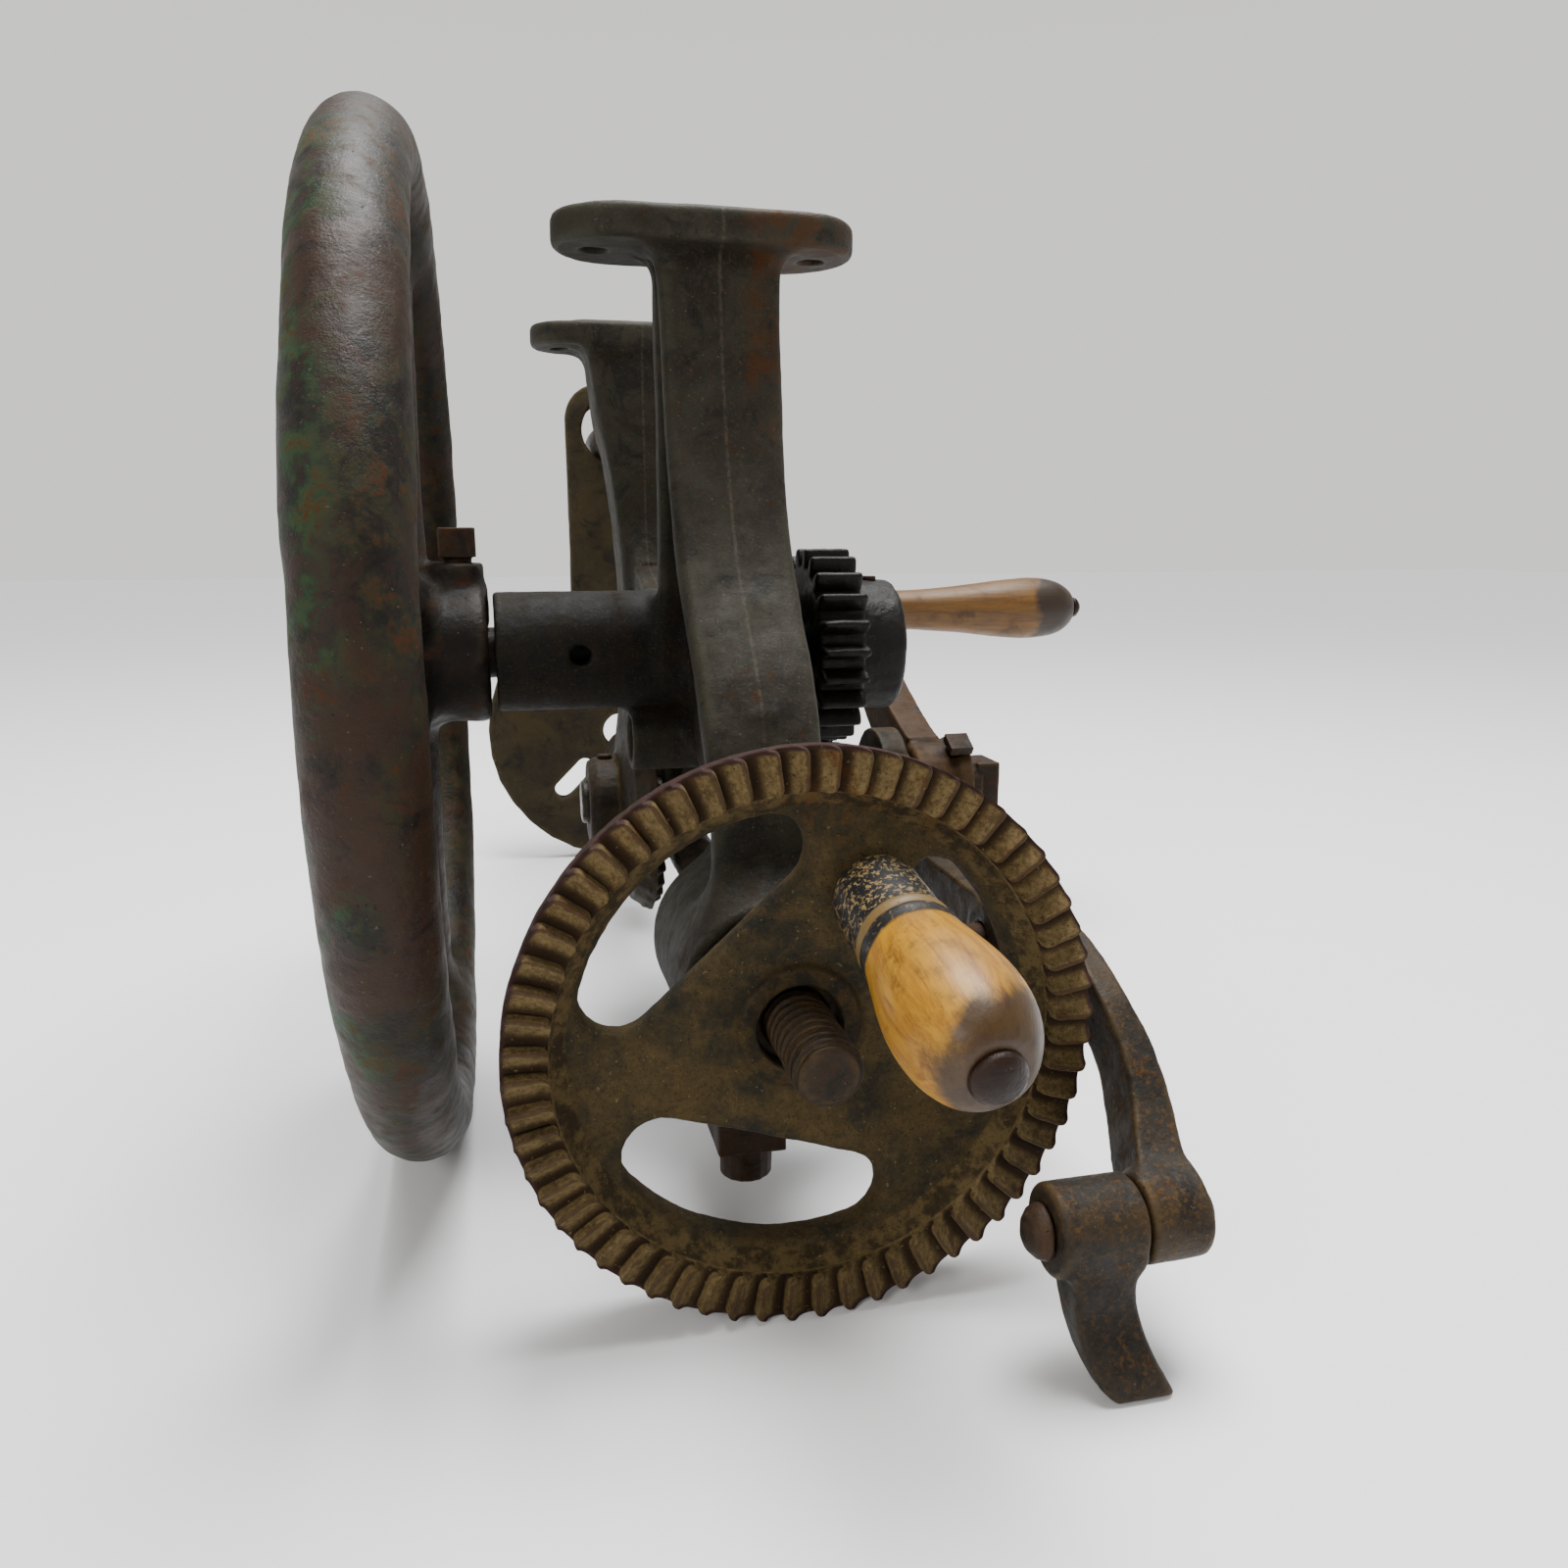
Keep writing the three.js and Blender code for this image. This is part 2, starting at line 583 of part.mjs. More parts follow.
function bullGear() {
  const firstTooth = CENTRES_ANGLE + Math.PI + Math.PI / BULL_TEETH;
  const teeth = plateX(gearOutline(BULL_TEETH, firstTooth), GEAR_X0, GEAR_X1 - 1);
  const recess = ontoX(tubeY(50, 24, 48, 70, 32));
  const hub = barX(22, 40, 72, 24);
  let gear = cut(solid(teeth), recess).add(solid(hub));
  for (let i = 0; i < 5; i += 1) {
    const a = (i * 2 * Math.PI) / 5 + 0.3;
    gear = cut(gear, barX(8.5, 30, 90, 16).translate(0, 37 * Math.cos(a), 37 * Math.sin(a)));
  }
  return cut(gear, barX(SHAFT_R + CLEAR, 30, 90, 24), barZ(3.5 + CLEAR, 0, 30, 12).translate(65, 0, 0));
}

place(crankGroup, 'bull_gear', bullGear(), iron(0x2a2722, 0.5));
const bullScrew = join(barZ(3.5, SHAFT_R + CLEAR, 24, 12), squareHead(4.5, 23.5, 30));
place(crankGroup, 'bull_gear_screw', bullScrew, iron(0x3a342c)).position.x = 65;

// Crown gear: radial teeth on its right face, close to the spindle's pinion.
function crownGear() {
  const blank = ontoX(lathe([
    [0, -44], [18, -44], [20, -40], [20, -31], [CROWN_R - 6, -27.5],
    [CROWN_R, -18.5], [33, -18.5], [31, -24], [20, -24], [18, -15], [0, -15],
  ], 30));
  let gear = solid(blank);
  for (let i = 0; i < CROWN_TEETH; i += 1) {
    const tooth = new THREE.CylinderGeometry(1.5, 2.9, 8, 4, 1);
    tooth.rotateY(Math.PI / 4);
    tooth.scale(1, 1, 3.6);
    const lift = new THREE.Matrix4().makeRotationX((i * 2 * Math.PI) / CROWN_TEETH);
    const upright = ontoX(tooth).translate(-18.4, 0, 0);
    const local = upright.translate(0, 0, CROWN_R - 8.5).applyMatrix4(lift);
    gear = gear.add(solid(local));
  }
  return cut(gear, barX(SHAFT_R + CLEAR, -60, 0, 24), barZ(3 + CLEAR, 0, 40, 12).translate(-36, 0, 0));
}

place(crankGroup, 'crown_gear', crownGear(), iron(0x4a3e2c, 0.6));
const crownPin = barZ(3, SHAFT_R + CLEAR, 21, 12);
place(crankGroup, 'crown_gear_pin', crownPin, iron(0x3a342c)).position.x = -36;

// Feed cam: a plain eccentric that rocks the feed lever once a turn.
const CAM_R = 24;
const CAM_THROW = 4;
const feedCam = cut(
  join(barX(CAM_R, 87, 99, 24).translate(0, 0, CAM_THROW), barX(17, 84, 104, 20)),
  barX(SHAFT_R + CLEAR, 80, 110, 24),
);
place(crankGroup, 'feed_cam', feedCam, iron(0x40382c, 0.5));

function crankArm() {
  const turn = new THREE.Matrix4().makeRotationX(CRANK_ANGLE);
  const side = new THREE.Shape();      // in the arm's own plane, u along the arm
  side.moveTo(12, 19);
  side.bezierCurveTo(34, 13, 70, 6.5, 126, 9.5);
  side.absarc(CRANK_ARM, 0, 14, 2.3, -2.3, true);
  side.bezierCurveTo(90, -14, 50, -15, 12, -19);
  side.closePath();
  const bar = plateX(side, CRANK_X, CRANK_X + CRANK_T, 10);
  const hub = ontoX(lathe([
    [0, 104.6], [19, 104.6], [20.5, 106.5], [20.5, 122], [22.5, 124.5], [22.5, 130.5], [0, 130.5],
  ], 24));
  const seat = barX(15, CRANK_X, CRANK_X + CRANK_T + 3, 20).translate(0, CRANK_ARM, 0);
  let arm = join(bar, hub, seat);
  arm = cut(
    arm,
    barX(SHAFT_R + CLEAR, 90, 150, 24),
    barX(5 + CLEAR, 90, 160, 16).translate(0, CRANK_ARM, 0),
    barZ(4 + CLEAR, 5, 40, 12).translate(125, 0, 0),
  );
  return geometryOf(arm).applyMatrix4(turn);
}

place(crankGroup, 'crank_arm', crankArm(), iron(0x54402a, 0.7));
const crankScrewGeometry = geometryOf(join(barZ(4, SHAFT_R + CLEAR, 23.5, 12), squareHead(5.5, 22.7, 27)));
crankScrewGeometry.translate(125, 0, 0).applyMatrix4(new THREE.Matrix4().makeRotationX(CRANK_ANGLE));
place(crankGroup, 'crank_arm_screw', crankScrewGeometry, iron(0x40382c));
const squareNut = new THREE.CylinderGeometry(15.5, 15.5, 11, 4).rotateY(Math.PI / 4);
const endNut = cut(
  join(ontoX(squareNut).translate(141.7, 0, 0), barX(13, 130.8, 138.5, 20)),
  barX(SHAFT_R + CLEAR, 120, 136.3, 24),
);
place(crankGroup, 'crankshaft_end_nut', endNut, iron(0x4a3a26));

const gripGroup = new THREE.Group();
gripGroup.position.set(0, CRANK_ARM * Math.cos(CRANK_ANGLE), CRANK_ARM * Math.sin(CRANK_ANGLE));
crankGroup.add(gripGroup);
const CRANK_GRIP = [
  [11, 125.5], [11.6, 128], [11, 136], [11.2, 150], [12.6, 170], [14.8, 190],
  [16.6, 205], [17.2, 215], [16.8, 224], [14.6, 234], [10.4, 241.5], [6.4, 244.5],
];
place(gripGroup, 'crank_grip', ontoX(woodenGrip(CRANK_GRIP, 4.4)), iron(0x7a4e28, 0.5, 0));
const crankBolt = ontoX(geometryOf(join(
  barY(4, 122, 247, 16),
  barY(5, CRANK_X + 1, 123.5, 16),
  lathe([[0, 245.5], [6, 245.5], [5.4, 248], [3, 250], [0, 250.6]], 24),
)));
place(gripGroup, 'crank_grip_bolt', crankBolt, iron(0x2e2722, 0.5));

// ----------------------------------------------------- feed lever, stud and pawl

const stud = join(
  barX(STUD_R, 19.5, 101, 20),
  barX(10, 40.4, 52, 20),
  barX(9.5, 100.2, 104, 20),
);
place(drill, 'lever_stud', geometryOf(stud).translate(0, LEVER_PIVOT[0], LEVER_PIVOT[1]), iron(0x3c352a));

// Centre line of the feed lever, stations [x, y, z, half thickness, half height].
const LEVER_PATH = [
  [93, 182, 3, 4.5, 6], [93, 146, -1, 4.5, 9], [93, 116, -4, 5, 12], [93, 98, -6, 5.5, 14],
  [93, 80, -6, 5.5, 14], [93.5, 60, 2, 5, 11], [91, 40, 8, 4.8, 9.5], [91.5, 24, 5, 4.6, 9.2],
  [92.3, 10, -2, 4.6, 9.2], [94.5, 0, -12, 5.2, 9.4], [94, -10, -23.5, 6, 9.6],
  [91.5, -20, -33, 6.8, 10], [89.5, -29, -38.2, 7.4, 9.6],
];

function boxPath(stations) {
  const positions = [];
  const index = [];
  stations.forEach(([x, y, z, thick, high], i) => {
    const a = stations[Math.max(i - 1, 0)];
    const b = stations[Math.min(i + 1, stations.length - 1)];
    const along = new THREE.Vector3(b[0] - a[0], b[1] - a[1], b[2] - a[2]).normalize();
    const up = new THREE.Vector3(0, -along.z, along.y).normalize();
    const side = new THREE.Vector3().crossVectors(along, up).normalize();
    [[-1, -1], [1, -1], [1, 1], [-1, 1]].forEach(([s, u]) => {
      const p = new THREE.Vector3(x, y, z).addScaledVector(side, s * thick).addScaledVector(up, u * high);
      positions.push(p.x, p.y, p.z);
    });
  });
  for (let i = 0; i < stations.length - 1; i += 1) {
    for (let k = 0; k < 4; k += 1) {
      const a = 4 * i + k;
      const b = 4 * i + ((k + 1) % 4);
      index.push(a, b + 4, b, a, a + 4, b + 4);
    }
  }
  const last = 4 * (stations.length - 1);
  index.push(0, 1, 2, 0, 2, 3, last, last + 2, last + 1, last, last + 3, last + 2);
  const geometry = new THREE.BufferGeometry();
  geometry.setAttribute('position', new THREE.Float32BufferAttribute(positions, 3));
  geometry.setIndex(index);
  return geometry;
}

function feedLever() {
  let lever = solid(boxPath(LEVER_PATH));
  lever = lever.add(solid(barX(13, 86.5, 99.5, 20).translate(0, LEVER_PIVOT[0], LEVER_PIVOT[1])));
  lever = lever.add(solid(barX(12, 79.4, 97.6, 20).translate(0, PAWL_PIVOT[0], PAWL_PIVOT[1])));
  lever = lever.add(solid(barX(7.5, 88.5, 97.5, 16).translate(0, 184, 4)));
  lever = cut(
    lever,
    barX(STUD_R + RUN, 70, 120, 20).translate(0, LEVER_PIVOT[0], LEVER_PIVOT[1]),
    barX(5 + CLEAR, 60, 120, 16).translate(0, PAWL_PIVOT[0], PAWL_PIVOT[1]),
    barX(3.2 + CLEAR, 70, 120, 12).translate(0, 184, 4),
  );
  return lever;
}

place(leverGroup, 'feed_lever', feedLever(), iron(0x5c4028, 0.75));
const rollerPin = join(barX(3.2, 82, 100.5, 12), barX(5.4, 100, 103, 12));
place(leverGroup, 'follower_pin', geometryOf(rollerPin).translate(0, 184, 4), iron(0x3c352a));
const pawlRivet = join(
  barX(5, 52, 100, 16),
  ontoX(lathe([[0, 48], [4.2, 48.8], [6.8, 51], [7.4, 53.6], [0, 53.6]], 20)),
  barX(7.4, 98, 100.8, 16),
);
const rivetBody = geometryOf(pawlRivet).translate(0, PAWL_PIVOT[0], PAWL_PIVOT[1]);
place(leverGroup, 'pawl_rivet', rivetBody, iron(0x5a3418));

// The pawl, about its pivot: its side view in (Y, Z) by its front view in (X, Z).
function pawl() {
  const side = new THREE.Shape();
  side.moveTo(8, -8);
  side.bezierCurveTo(8, -20, 0, -32, -10, -42);
  side.lineTo(-17.4, -42.2);
  side.bezierCurveTo(-19.4, -35, -9, -27, -8.6, -19);
  side.bezierCurveTo(-8.2, -13, -10, -11, -10.4, -6);
  side.closePath();
  const body = plateX(side, 50, 100, 6);
  const front = new THREE.Shape();     // (X, Z) silhouette
  front.moveTo(60, -4);
  front.bezierCurveTo(60, -18, 60, -30, 64, -38);
  front.lineTo(68.4, -42.3);
  front.lineTo(85.5, -42.3);
  front.bezierCurveTo(80, -34, 77, -24, 77, -4);
  front.closePath();
  const mask = plateY(front, -30, 30, 6);
  const eye = barX(12.3, 54.2, 78.6, 24);
  const shaped = solid(body).intersect(solid(mask)).add(solid(eye));
  return cut(shaped, barX(5 + RUN, 30, 100, 16));
}

place(pawlGroup, 'pawl', pawl(), iron(0x4c4038, 0.6));

// ------------------------------------------------------------------------ table

function drillTable() {
  const plate = new THREE.Shape();
  const half = 30;
  const joinAngle = Math.acos(half / TABLE_R);
  plate.absarc(0, TABLE_Z, TABLE_R, Math.PI - joinAngle, 2 * Math.PI + joinAngle);
  plate.lineTo(half, 214);
  plate.absarc(8, 212, 22, 0, Math.PI / 2);
  plate.absarc(-8, 212, 22, Math.PI / 2, Math.PI);
  plate.closePath();
  const centre = new THREE.Path();
  centre.absarc(0, TABLE_Z, 12, 0, 2 * Math.PI, true);
  plate.holes.push(centre);
  let table = solid(plateY(plate, TABLE_Y, TABLE_Y + TABLE_T, 14));
  const eyeBoss = barY(27, TABLE_Y + 2, TABLE_Y + 42, 24).translate(0, 0, EYE_Z);
  const rib = plateX(outline([
    [TABLE_Y + 11, -60], [TABLE_Y + 20, -50], [TABLE_Y + 24, 40], [TABLE_Y + 36, 185],
    [TABLE_Y + 11, 190],
  ]), -5, 5);
  table = table.add(solid(eyeBoss)).add(solid(rib));
  table = cut(
    table,
    barY(12, TABLE_Y + 5, TABLE_Y + 60, 20).translate(0, 0, TABLE_Z),
    barY(EYE_R, TABLE_Y - 10, TABLE_Y + 60, 24).translate(0, 0, EYE_Z),
    barZ(6 + CLEAR, 212, 250, 16).translate(0, TABLE_Y + 28, 0),
  );
  for (let i = 0; i < 4; i += 1) {
    const slot = plateY(capsule(34, 13), TABLE_Y - 5, TABLE_Y + 30, 4);
    slot.translate(46, 0, 0);
    slot.applyMatrix4(new THREE.Matrix4().makeRotationY((i + 0.5) * (Math.PI / 2)));
    table = cut(table, slot.translate(0, 0, TABLE_Z));
  }
  return table;
}

place(drill, 'table', drillTable(), iron(0x4a3f2c, 0.8));
const tableScrew = join(barZ(6, COLUMN_Z + COLUMN_R + CLEAR, 240, 16), squareHead(7, 239.5, 243.2));
place(drill, 'table_clamp_screw', tableScrew, iron(0x3c352a)).position.set(0, TABLE_Y + 28, 0);

drill.position.set(-FOOT_X, -(NEAR_FOOT_Y + FOOT_D / 2), -FOOT_TOP);

export default drill;
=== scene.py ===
import json
import math

import bpy
import numpy as np
from mathutils import Matrix, Vector


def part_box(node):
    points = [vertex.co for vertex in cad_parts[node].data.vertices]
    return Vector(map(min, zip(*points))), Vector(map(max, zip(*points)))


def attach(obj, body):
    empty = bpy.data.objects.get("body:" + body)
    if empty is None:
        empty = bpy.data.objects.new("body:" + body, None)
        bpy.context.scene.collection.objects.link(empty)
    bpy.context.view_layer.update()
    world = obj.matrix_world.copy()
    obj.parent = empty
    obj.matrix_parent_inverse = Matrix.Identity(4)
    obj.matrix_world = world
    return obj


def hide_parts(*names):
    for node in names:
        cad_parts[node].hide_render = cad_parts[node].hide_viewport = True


# A hand-cranked post drill, lying on its front. Shapes are worked out in
# millimetres from the point where the spindle axis meets the feed wheel's tooth
# crests, X towards the crank, Y down the spindle, Z towards the feet, and are
# moved to the row frame, in metres, when a piece is made.

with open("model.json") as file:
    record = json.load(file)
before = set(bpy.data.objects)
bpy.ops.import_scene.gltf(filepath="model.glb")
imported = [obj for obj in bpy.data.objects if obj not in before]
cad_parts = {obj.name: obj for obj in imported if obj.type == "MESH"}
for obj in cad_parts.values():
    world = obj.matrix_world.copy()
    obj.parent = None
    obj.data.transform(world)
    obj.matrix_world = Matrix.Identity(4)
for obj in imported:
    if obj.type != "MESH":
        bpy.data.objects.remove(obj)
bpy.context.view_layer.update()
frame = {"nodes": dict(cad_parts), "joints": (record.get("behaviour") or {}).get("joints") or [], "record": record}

MM = 0.001
wheel_low, wheel_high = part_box("feed_wheel")
ORIGIN = np.array([
    (wheel_low.x + wheel_high.x) / 2,
    wheel_low.y,
    (wheel_low.z + wheel_high.z) / 2,
])
FLOOR = min(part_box(node)[0].z for node in frame["nodes"])
JOINTS = {joint["name"]: joint for joint in frame["joints"]}
SLOTS = {part["node"]: part["material_slot"] for part in frame["record"]["subparts"]}
BODIES = {
    node: body
    for body, nodes in frame["record"]["behaviour"]["bodies"].items()
    for node in nodes
}


def from_row(point):
    """A point of the row frame, as millimetres from the spindle's origin."""
    return (np.array(point, float) - ORIGIN) / MM


CRANK = from_row(JOINTS["crank_turn"]["pos_m"])
SHAFT = from_row(JOINTS["flywheel_turn"]["pos_m"])
PAWL_PIVOT = from_row(JOINTS["pawl_swing"]["pos_m"])
LEVER_PIVOT = from_row(JOINTS["lever_rock"]["pos_m"])
FEED_GRIP = from_row(JOINTS["feed_grip_spin"]["pos_m"])
FEED_GRIP_AXIS = Vector(JOINTS["feed_grip_spin"]["axis"])
CRANK_GRIP = from_row(JOINTS["crank_grip_spin"]["pos_m"])


# ------------------------------------------------------------ distance shapes
# A shape is an array of distances to its surface, negative inside, sampled on
# the points of a grid.

class Grid:
    """Sample points of a box, in millimetres, as arrays that broadcast."""

    def __init__(self, low, high, step):
        self.step = step
        self.low = np.array(low, float) - 2 * step
        counts = np.ceil((np.array(high, float) - self.low) / step).astype(int) + 3
        lines = [self.low[i] + step * np.arange(counts[i]) for i in range(3)]
        self.x = lines[0].astype(np.float32)[:, None, None]
        self.y = lines[1].astype(np.float32)[None, :, None]
        self.z = lines[2].astype(np.float32)[None, None, :]


SHARP = 0.1                              # the edge of a shape that is cut away


def join(a, b, blend=0.01):
    """Union with a fillet about blend wide."""
    h = np.maximum(blend - np.abs(a - b), 0) / blend
    return np.minimum(a, b) - h * h * blend / 4


def both(a, b, blend=0.01):
    """Intersection with a rounded edge."""
    return -join(-a, -b, blend)


def without(a, b, blend=0.01):
    return -join(-a, b, blend)


def rounded(a, b, edge):
    """Where two distances, each raised by edge, meet in a round corner."""
    outside = np.hypot(np.maximum(a, 0), np.maximum(b, 0))
    return np.minimum(np.maximum(a, b), 0) + outside - edge


def prism(outline, along, low, high, edge=0.8):
    """An outline's distance carried from low to high, with rounded edges."""
    b = np.abs(along - (low + high) / 2) - (high - low) / 2 + edge
    return rounded(outline + edge, b, edge)


def rod(u, v, along, radius, low, high, edge=0.8):
    return prism(np.hypot(u, v) - radius, along, low, high, edge)


def brick(u, v, w, size, edge=0.8):
    """A rounded box about the origin, of the given half sizes."""
    q = [np.abs(c) - half + edge for c, half in zip((u, v, w), size)]
    outside = np.sqrt(sum(np.maximum(c, 0) ** 2 for c in q))
    return np.minimum(np.maximum(np.maximum(q[0], q[1]), q[2]), 0) + outside - edge


def polygon(u, v, points):
    """Distance to a closed outline in the plane of u and v."""
    u, v = np.broadcast_arrays(u, v)
    nearest = np.full(u.shape, 1e9, np.float32)
    odd = np.zeros(u.shape, bool)
    for (ax, ay), (bx, by) in zip(points, np.roll(points, -1, axis=0)):
        ex, ey = bx - ax, by - ay
        du, dv = u - ax, v - ay
        t = np.clip((du * ex + dv * ey) / (ex * ex + ey * ey + 1e-9), 0, 1)
        nearest = np.minimum(nearest, (du - ex * t) ** 2 + (dv - ey * t) ** 2)
        if ay != by:
            crosses = (ay > v) != (by > v)
            odd ^= crosses & (u < ex * (v - ay) / (by - ay) + ax)
    return np.where(odd, -1, 1) * np.sqrt(nearest)


def smooth_path(stations, count):
    """A smooth curve through stations, each a row of any numbers."""
    rows = np.array(stations, float)
    padded = np.vstack([2 * rows[0] - rows[1], rows, 2 * rows[-1] - rows[-2]])
    result = []
    for s in np.linspace(0, len(rows) - 1, count):
        i = min(int(s), len(rows) - 2)
        t = s - i
        a, b, c, d = padded[i:i + 4]
        result.append(
            b + t * (c - a) / 2
            + t * t * (a - 2.5 * b + 2 * c - d / 2)
            + t * t * t * (1.5 * (b - c) + (d - a) / 2)
        )
    return np.array(result)


def ribbon(path, depth):
    """The outline of a strap whose front runs along path, in two columns."""
    along = np.gradient(path, axis=0)
    along /= np.linalg.norm(along, axis=1)[:, None]
    back = path + depth * np.column_stack([-along[:, 1], along[:, 0]])
    return np.vstack([path, back[::-1]])


def turn(u, v, degrees):
    """Coordinates seen from axes turned by that angle."""
    c, s = math.cos(math.radians(degrees)), math.sin(math.radians(degrees))
    return u * c + v * s, v * c - u * s


def surface(grid, values):
    """The zero surface of a distance array, as points and four-sided faces."""
    values = np.asarray(values, np.float32)
    inside = values < 0
    corners = sum(
        inside[i:i - 1 or None, j:j - 1 or None, k:k - 1 or None].astype(np.int8)
        for i in (0, 1) for j in (0, 1) for k in (0, 1)
    )
    active = (corners > 0) & (corners < 8)
    cells = np.argwhere(active)
    number = np.full(active.shape, -1, np.int32)
    number[active] = np.arange(len(cells))
    total = np.zeros((len(cells), 3))
    hits = np.zeros(len(cells))
    faces = []
    for axis in range(3):
        a, b = [other for other in range(3) if other != axis]
        unit = np.eye(3, dtype=int)
        for i in (0, 1):
            for j in (0, 1):
                start = cells + i * unit[a] + j * unit[b]
                end = start + unit[axis]
                v0, v1 = values[tuple(start.T)], values[tuple(end.T)]
                crosses = (v0 < 0) != (v1 < 0)
                share = np.where(crosses, v0 / np.where(crosses, v0 - v1, 1), 0)
                point = start + share[:, None] * unit[axis]
                total += point * crosses[:, None]
                hits += crosses
        inner = [slice(1, -1)] * 3
        inner[axis] = slice(0, -1)
        upper = list(inner)
        upper[axis] = slice(1, None)
        first, second = inside[tuple(inner)], inside[tuple(upper)]
        edges = np.argwhere(first != second)
        outward = first[tuple(edges.T)]
        edges = edges + unit[a] + unit[b]
        quads = np.stack([
            number[tuple(edges.T)],
            number[tuple((edges - unit[a]).T)],
            number[tuple((edges - unit[a] - unit[b]).T)],
            number[tuple((edges - unit[b]).T)],
        ], axis=1)
        flip = outward if axis == 1 else ~outward
        quads[flip] = quads[flip][:, ::-1]
        faces.append(quads)
    points = grid.low + grid.step * total / hits[:, None]
    return points, np.vstack(faces)


# ------------------------------------------------------------------- surfaces

def lattice_noise(points, size, seed):
    """Smooth noise from -1 to 1 with bumps about size across."""
    table = np.random.default_rng(seed).random((32, 32, 32)) * 2 - 1
    q = points / size
    cell = np.floor(q).astype(int)
    f = q - cell
    f = f * f * (3 - 2 * f)
    value = np.zeros(len(points))
    for i in (0, 1):
        for j in (0, 1):
            for k in (0, 1):
                corner = (cell + [i, j, k]) & 31
                weight = np.prod(np.where([i, j, k], f, 1 - f), axis=1)
                value += weight * table[tuple(corner.T)]
    return value


def blurred(values, edges, passes):
    """Values averaged over each point's neighbours, again and again."""
    values = values.reshape(len(values), -1)
    count = len(values)
    degree = np.maximum(np.bincount(edges.ravel(), minlength=count), 1)
    for _ in range(passes):
        columns = [
            np.bincount(edges[:, 0], values[edges[:, 1], c], count)
            + np.bincount(edges[:, 1], values[edges[:, 0], c], count)
            for c in range(values.shape[1])
        ]
        values = np.stack(columns, axis=1) / degree[:, None]
    return values


def show(obj):
    bpy.context.scene.collection.objects.link(obj)


def read_normals(mesh):
    normals = np.zeros(3 * len(mesh.vertices))
    mesh.vertex_normals.foreach_get("vector", normals)
    return normals.reshape(-1, 3)


def read_edges(mesh):
    edges = np.zeros(2 * len(mesh.edges), np.int64)
    mesh.edges.foreach_get("vertices", edges)
    return edges.reshape(-1, 2)


def write_points(mesh, points):
    mesh.vertices.foreach_set("co", np.ascontiguousarray(points, np.float32).ravel())
    mesh.update()


def mesh_from(name, points, faces):
    """A smooth-shaded mesh. faces holds rows of three or four point numbers."""
    mesh = bpy.data.meshes.new(name)
    mesh.vertices.add(len(points))
    mesh.vertices.foreach_set("co", np.asarray(points, np.float32).ravel())
    corners = np.concatenate([np.asarray(f).ravel() for f in faces]).astype(np.int32)
    sizes = np.concatenate([np.full(len(f), np.asarray(f).shape[1]) for f in faces])
    starts = np.concatenate([[0], np.cumsum(sizes)[:-1]]).astype(np.int32)
    mesh.loops.add(len(corners))
    mesh.loops.foreach_set("vertex_index", corners)
    mesh.polygons.add(len(sizes))
    mesh.polygons.foreach_set("loop_start", starts)
    mesh.update(calc_edges=True)
    mesh.validate()
    mesh.shade_smooth()
    return mesh


CAST = [(26, 0.32, 1), (9, 0.14, 2), (3.2, 0.07, 3)]       # size, height, seed
FORGED = [(14, 0.3, 4), (5, 0.12, 5), (2, 0.05, 6)]
SMALL = [(5, 0.14, 7), (1.8, 0.05, 8)]


def weathered(mesh, dents, passes, reach):
    """Roughens a mesh and marks its edges (above 0) and hollows (below 0)."""
    points = np.zeros(3 * len(mesh.vertices))
    mesh.vertices.foreach_get("co", points)
    points = points.reshape(-1, 3)
    normals = read_normals(mesh)
    edges = read_edges(mesh)
    for size, height, seed in dents:
        points = points + normals * (height * lattice_noise(points, size, seed))[:, None]
    write_points(mesh, points)
    normals = read_normals(mesh)
    drop = ((points - blurred(points, edges, passes)) * normals).sum(axis=1)
    relief = blurred(np.clip(drop / reach, -1, 1), edges, 1)[:, 0]
    layer = mesh.attributes.new("relief", "FLOAT", "POINT")
    layer.data.foreach_set("value", relief.astype(np.float32))


def piece(name, mesh, nodes, material, place=None):
    """Puts a mesh, in millimetres, in the row frame as a piece that stands for nodes."""
    obj = bpy.data.objects.new(name, mesh)
    show(obj)
    if place is None:
        mesh.transform(Matrix.Translation(Vector(ORIGIN)) @ Matrix.Scale(MM, 4))
    else:
        mesh.transform(Matrix.Scale(MM, 4))
        obj.matrix_world = Matrix.Translation(Vector(ORIGIN)) @ place
    mesh.materials.append(material)
    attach(obj, BODIES[nodes[0]])
    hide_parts(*nodes)
    return obj


def cast_piece(name, grid, values, nodes, material, dents=CAST, passes=8, reach=0.5):
    points, faces = surface(grid, values)
    mesh = mesh_from(name, points, [faces])
    weathered(mesh, dents, passes, reach)
    return piece(name, mesh, nodes, material)


def refined_piece(node, material, step, rounds=4, dents=SMALL, reach=0.25):
    """A CAD node's own shape with its edges rounded and its facets smoothed away."""
    source = frame["nodes"][node].data.copy()
    source.transform(Matrix.Scale(1 / MM, 4) @ Matrix.Translation(-Vector(ORIGIN)))
    obj = bpy.data.objects.new("refining", source)
    show(obj)
    remesh = obj.modifiers.new("remesh", "REMESH")
    remesh.mode = "VOXEL"
    remesh.voxel_size = step
    smooth = obj.modifiers.new("smooth", "SMOOTH")
    smooth.factor = 0.6
    smooth.iterations = rounds
    graph = bpy.context.evaluated_depsgraph_get()
    mesh = bpy.data.meshes.new_from_object(obj.evaluated_get(graph))
    bpy.data.objects.remove(obj)
    mesh.materials.clear()
    mesh.shade_smooth()
    weathered(mesh, dents, 6, reach)
    return piece(node + "_piece", mesh, [node], material)


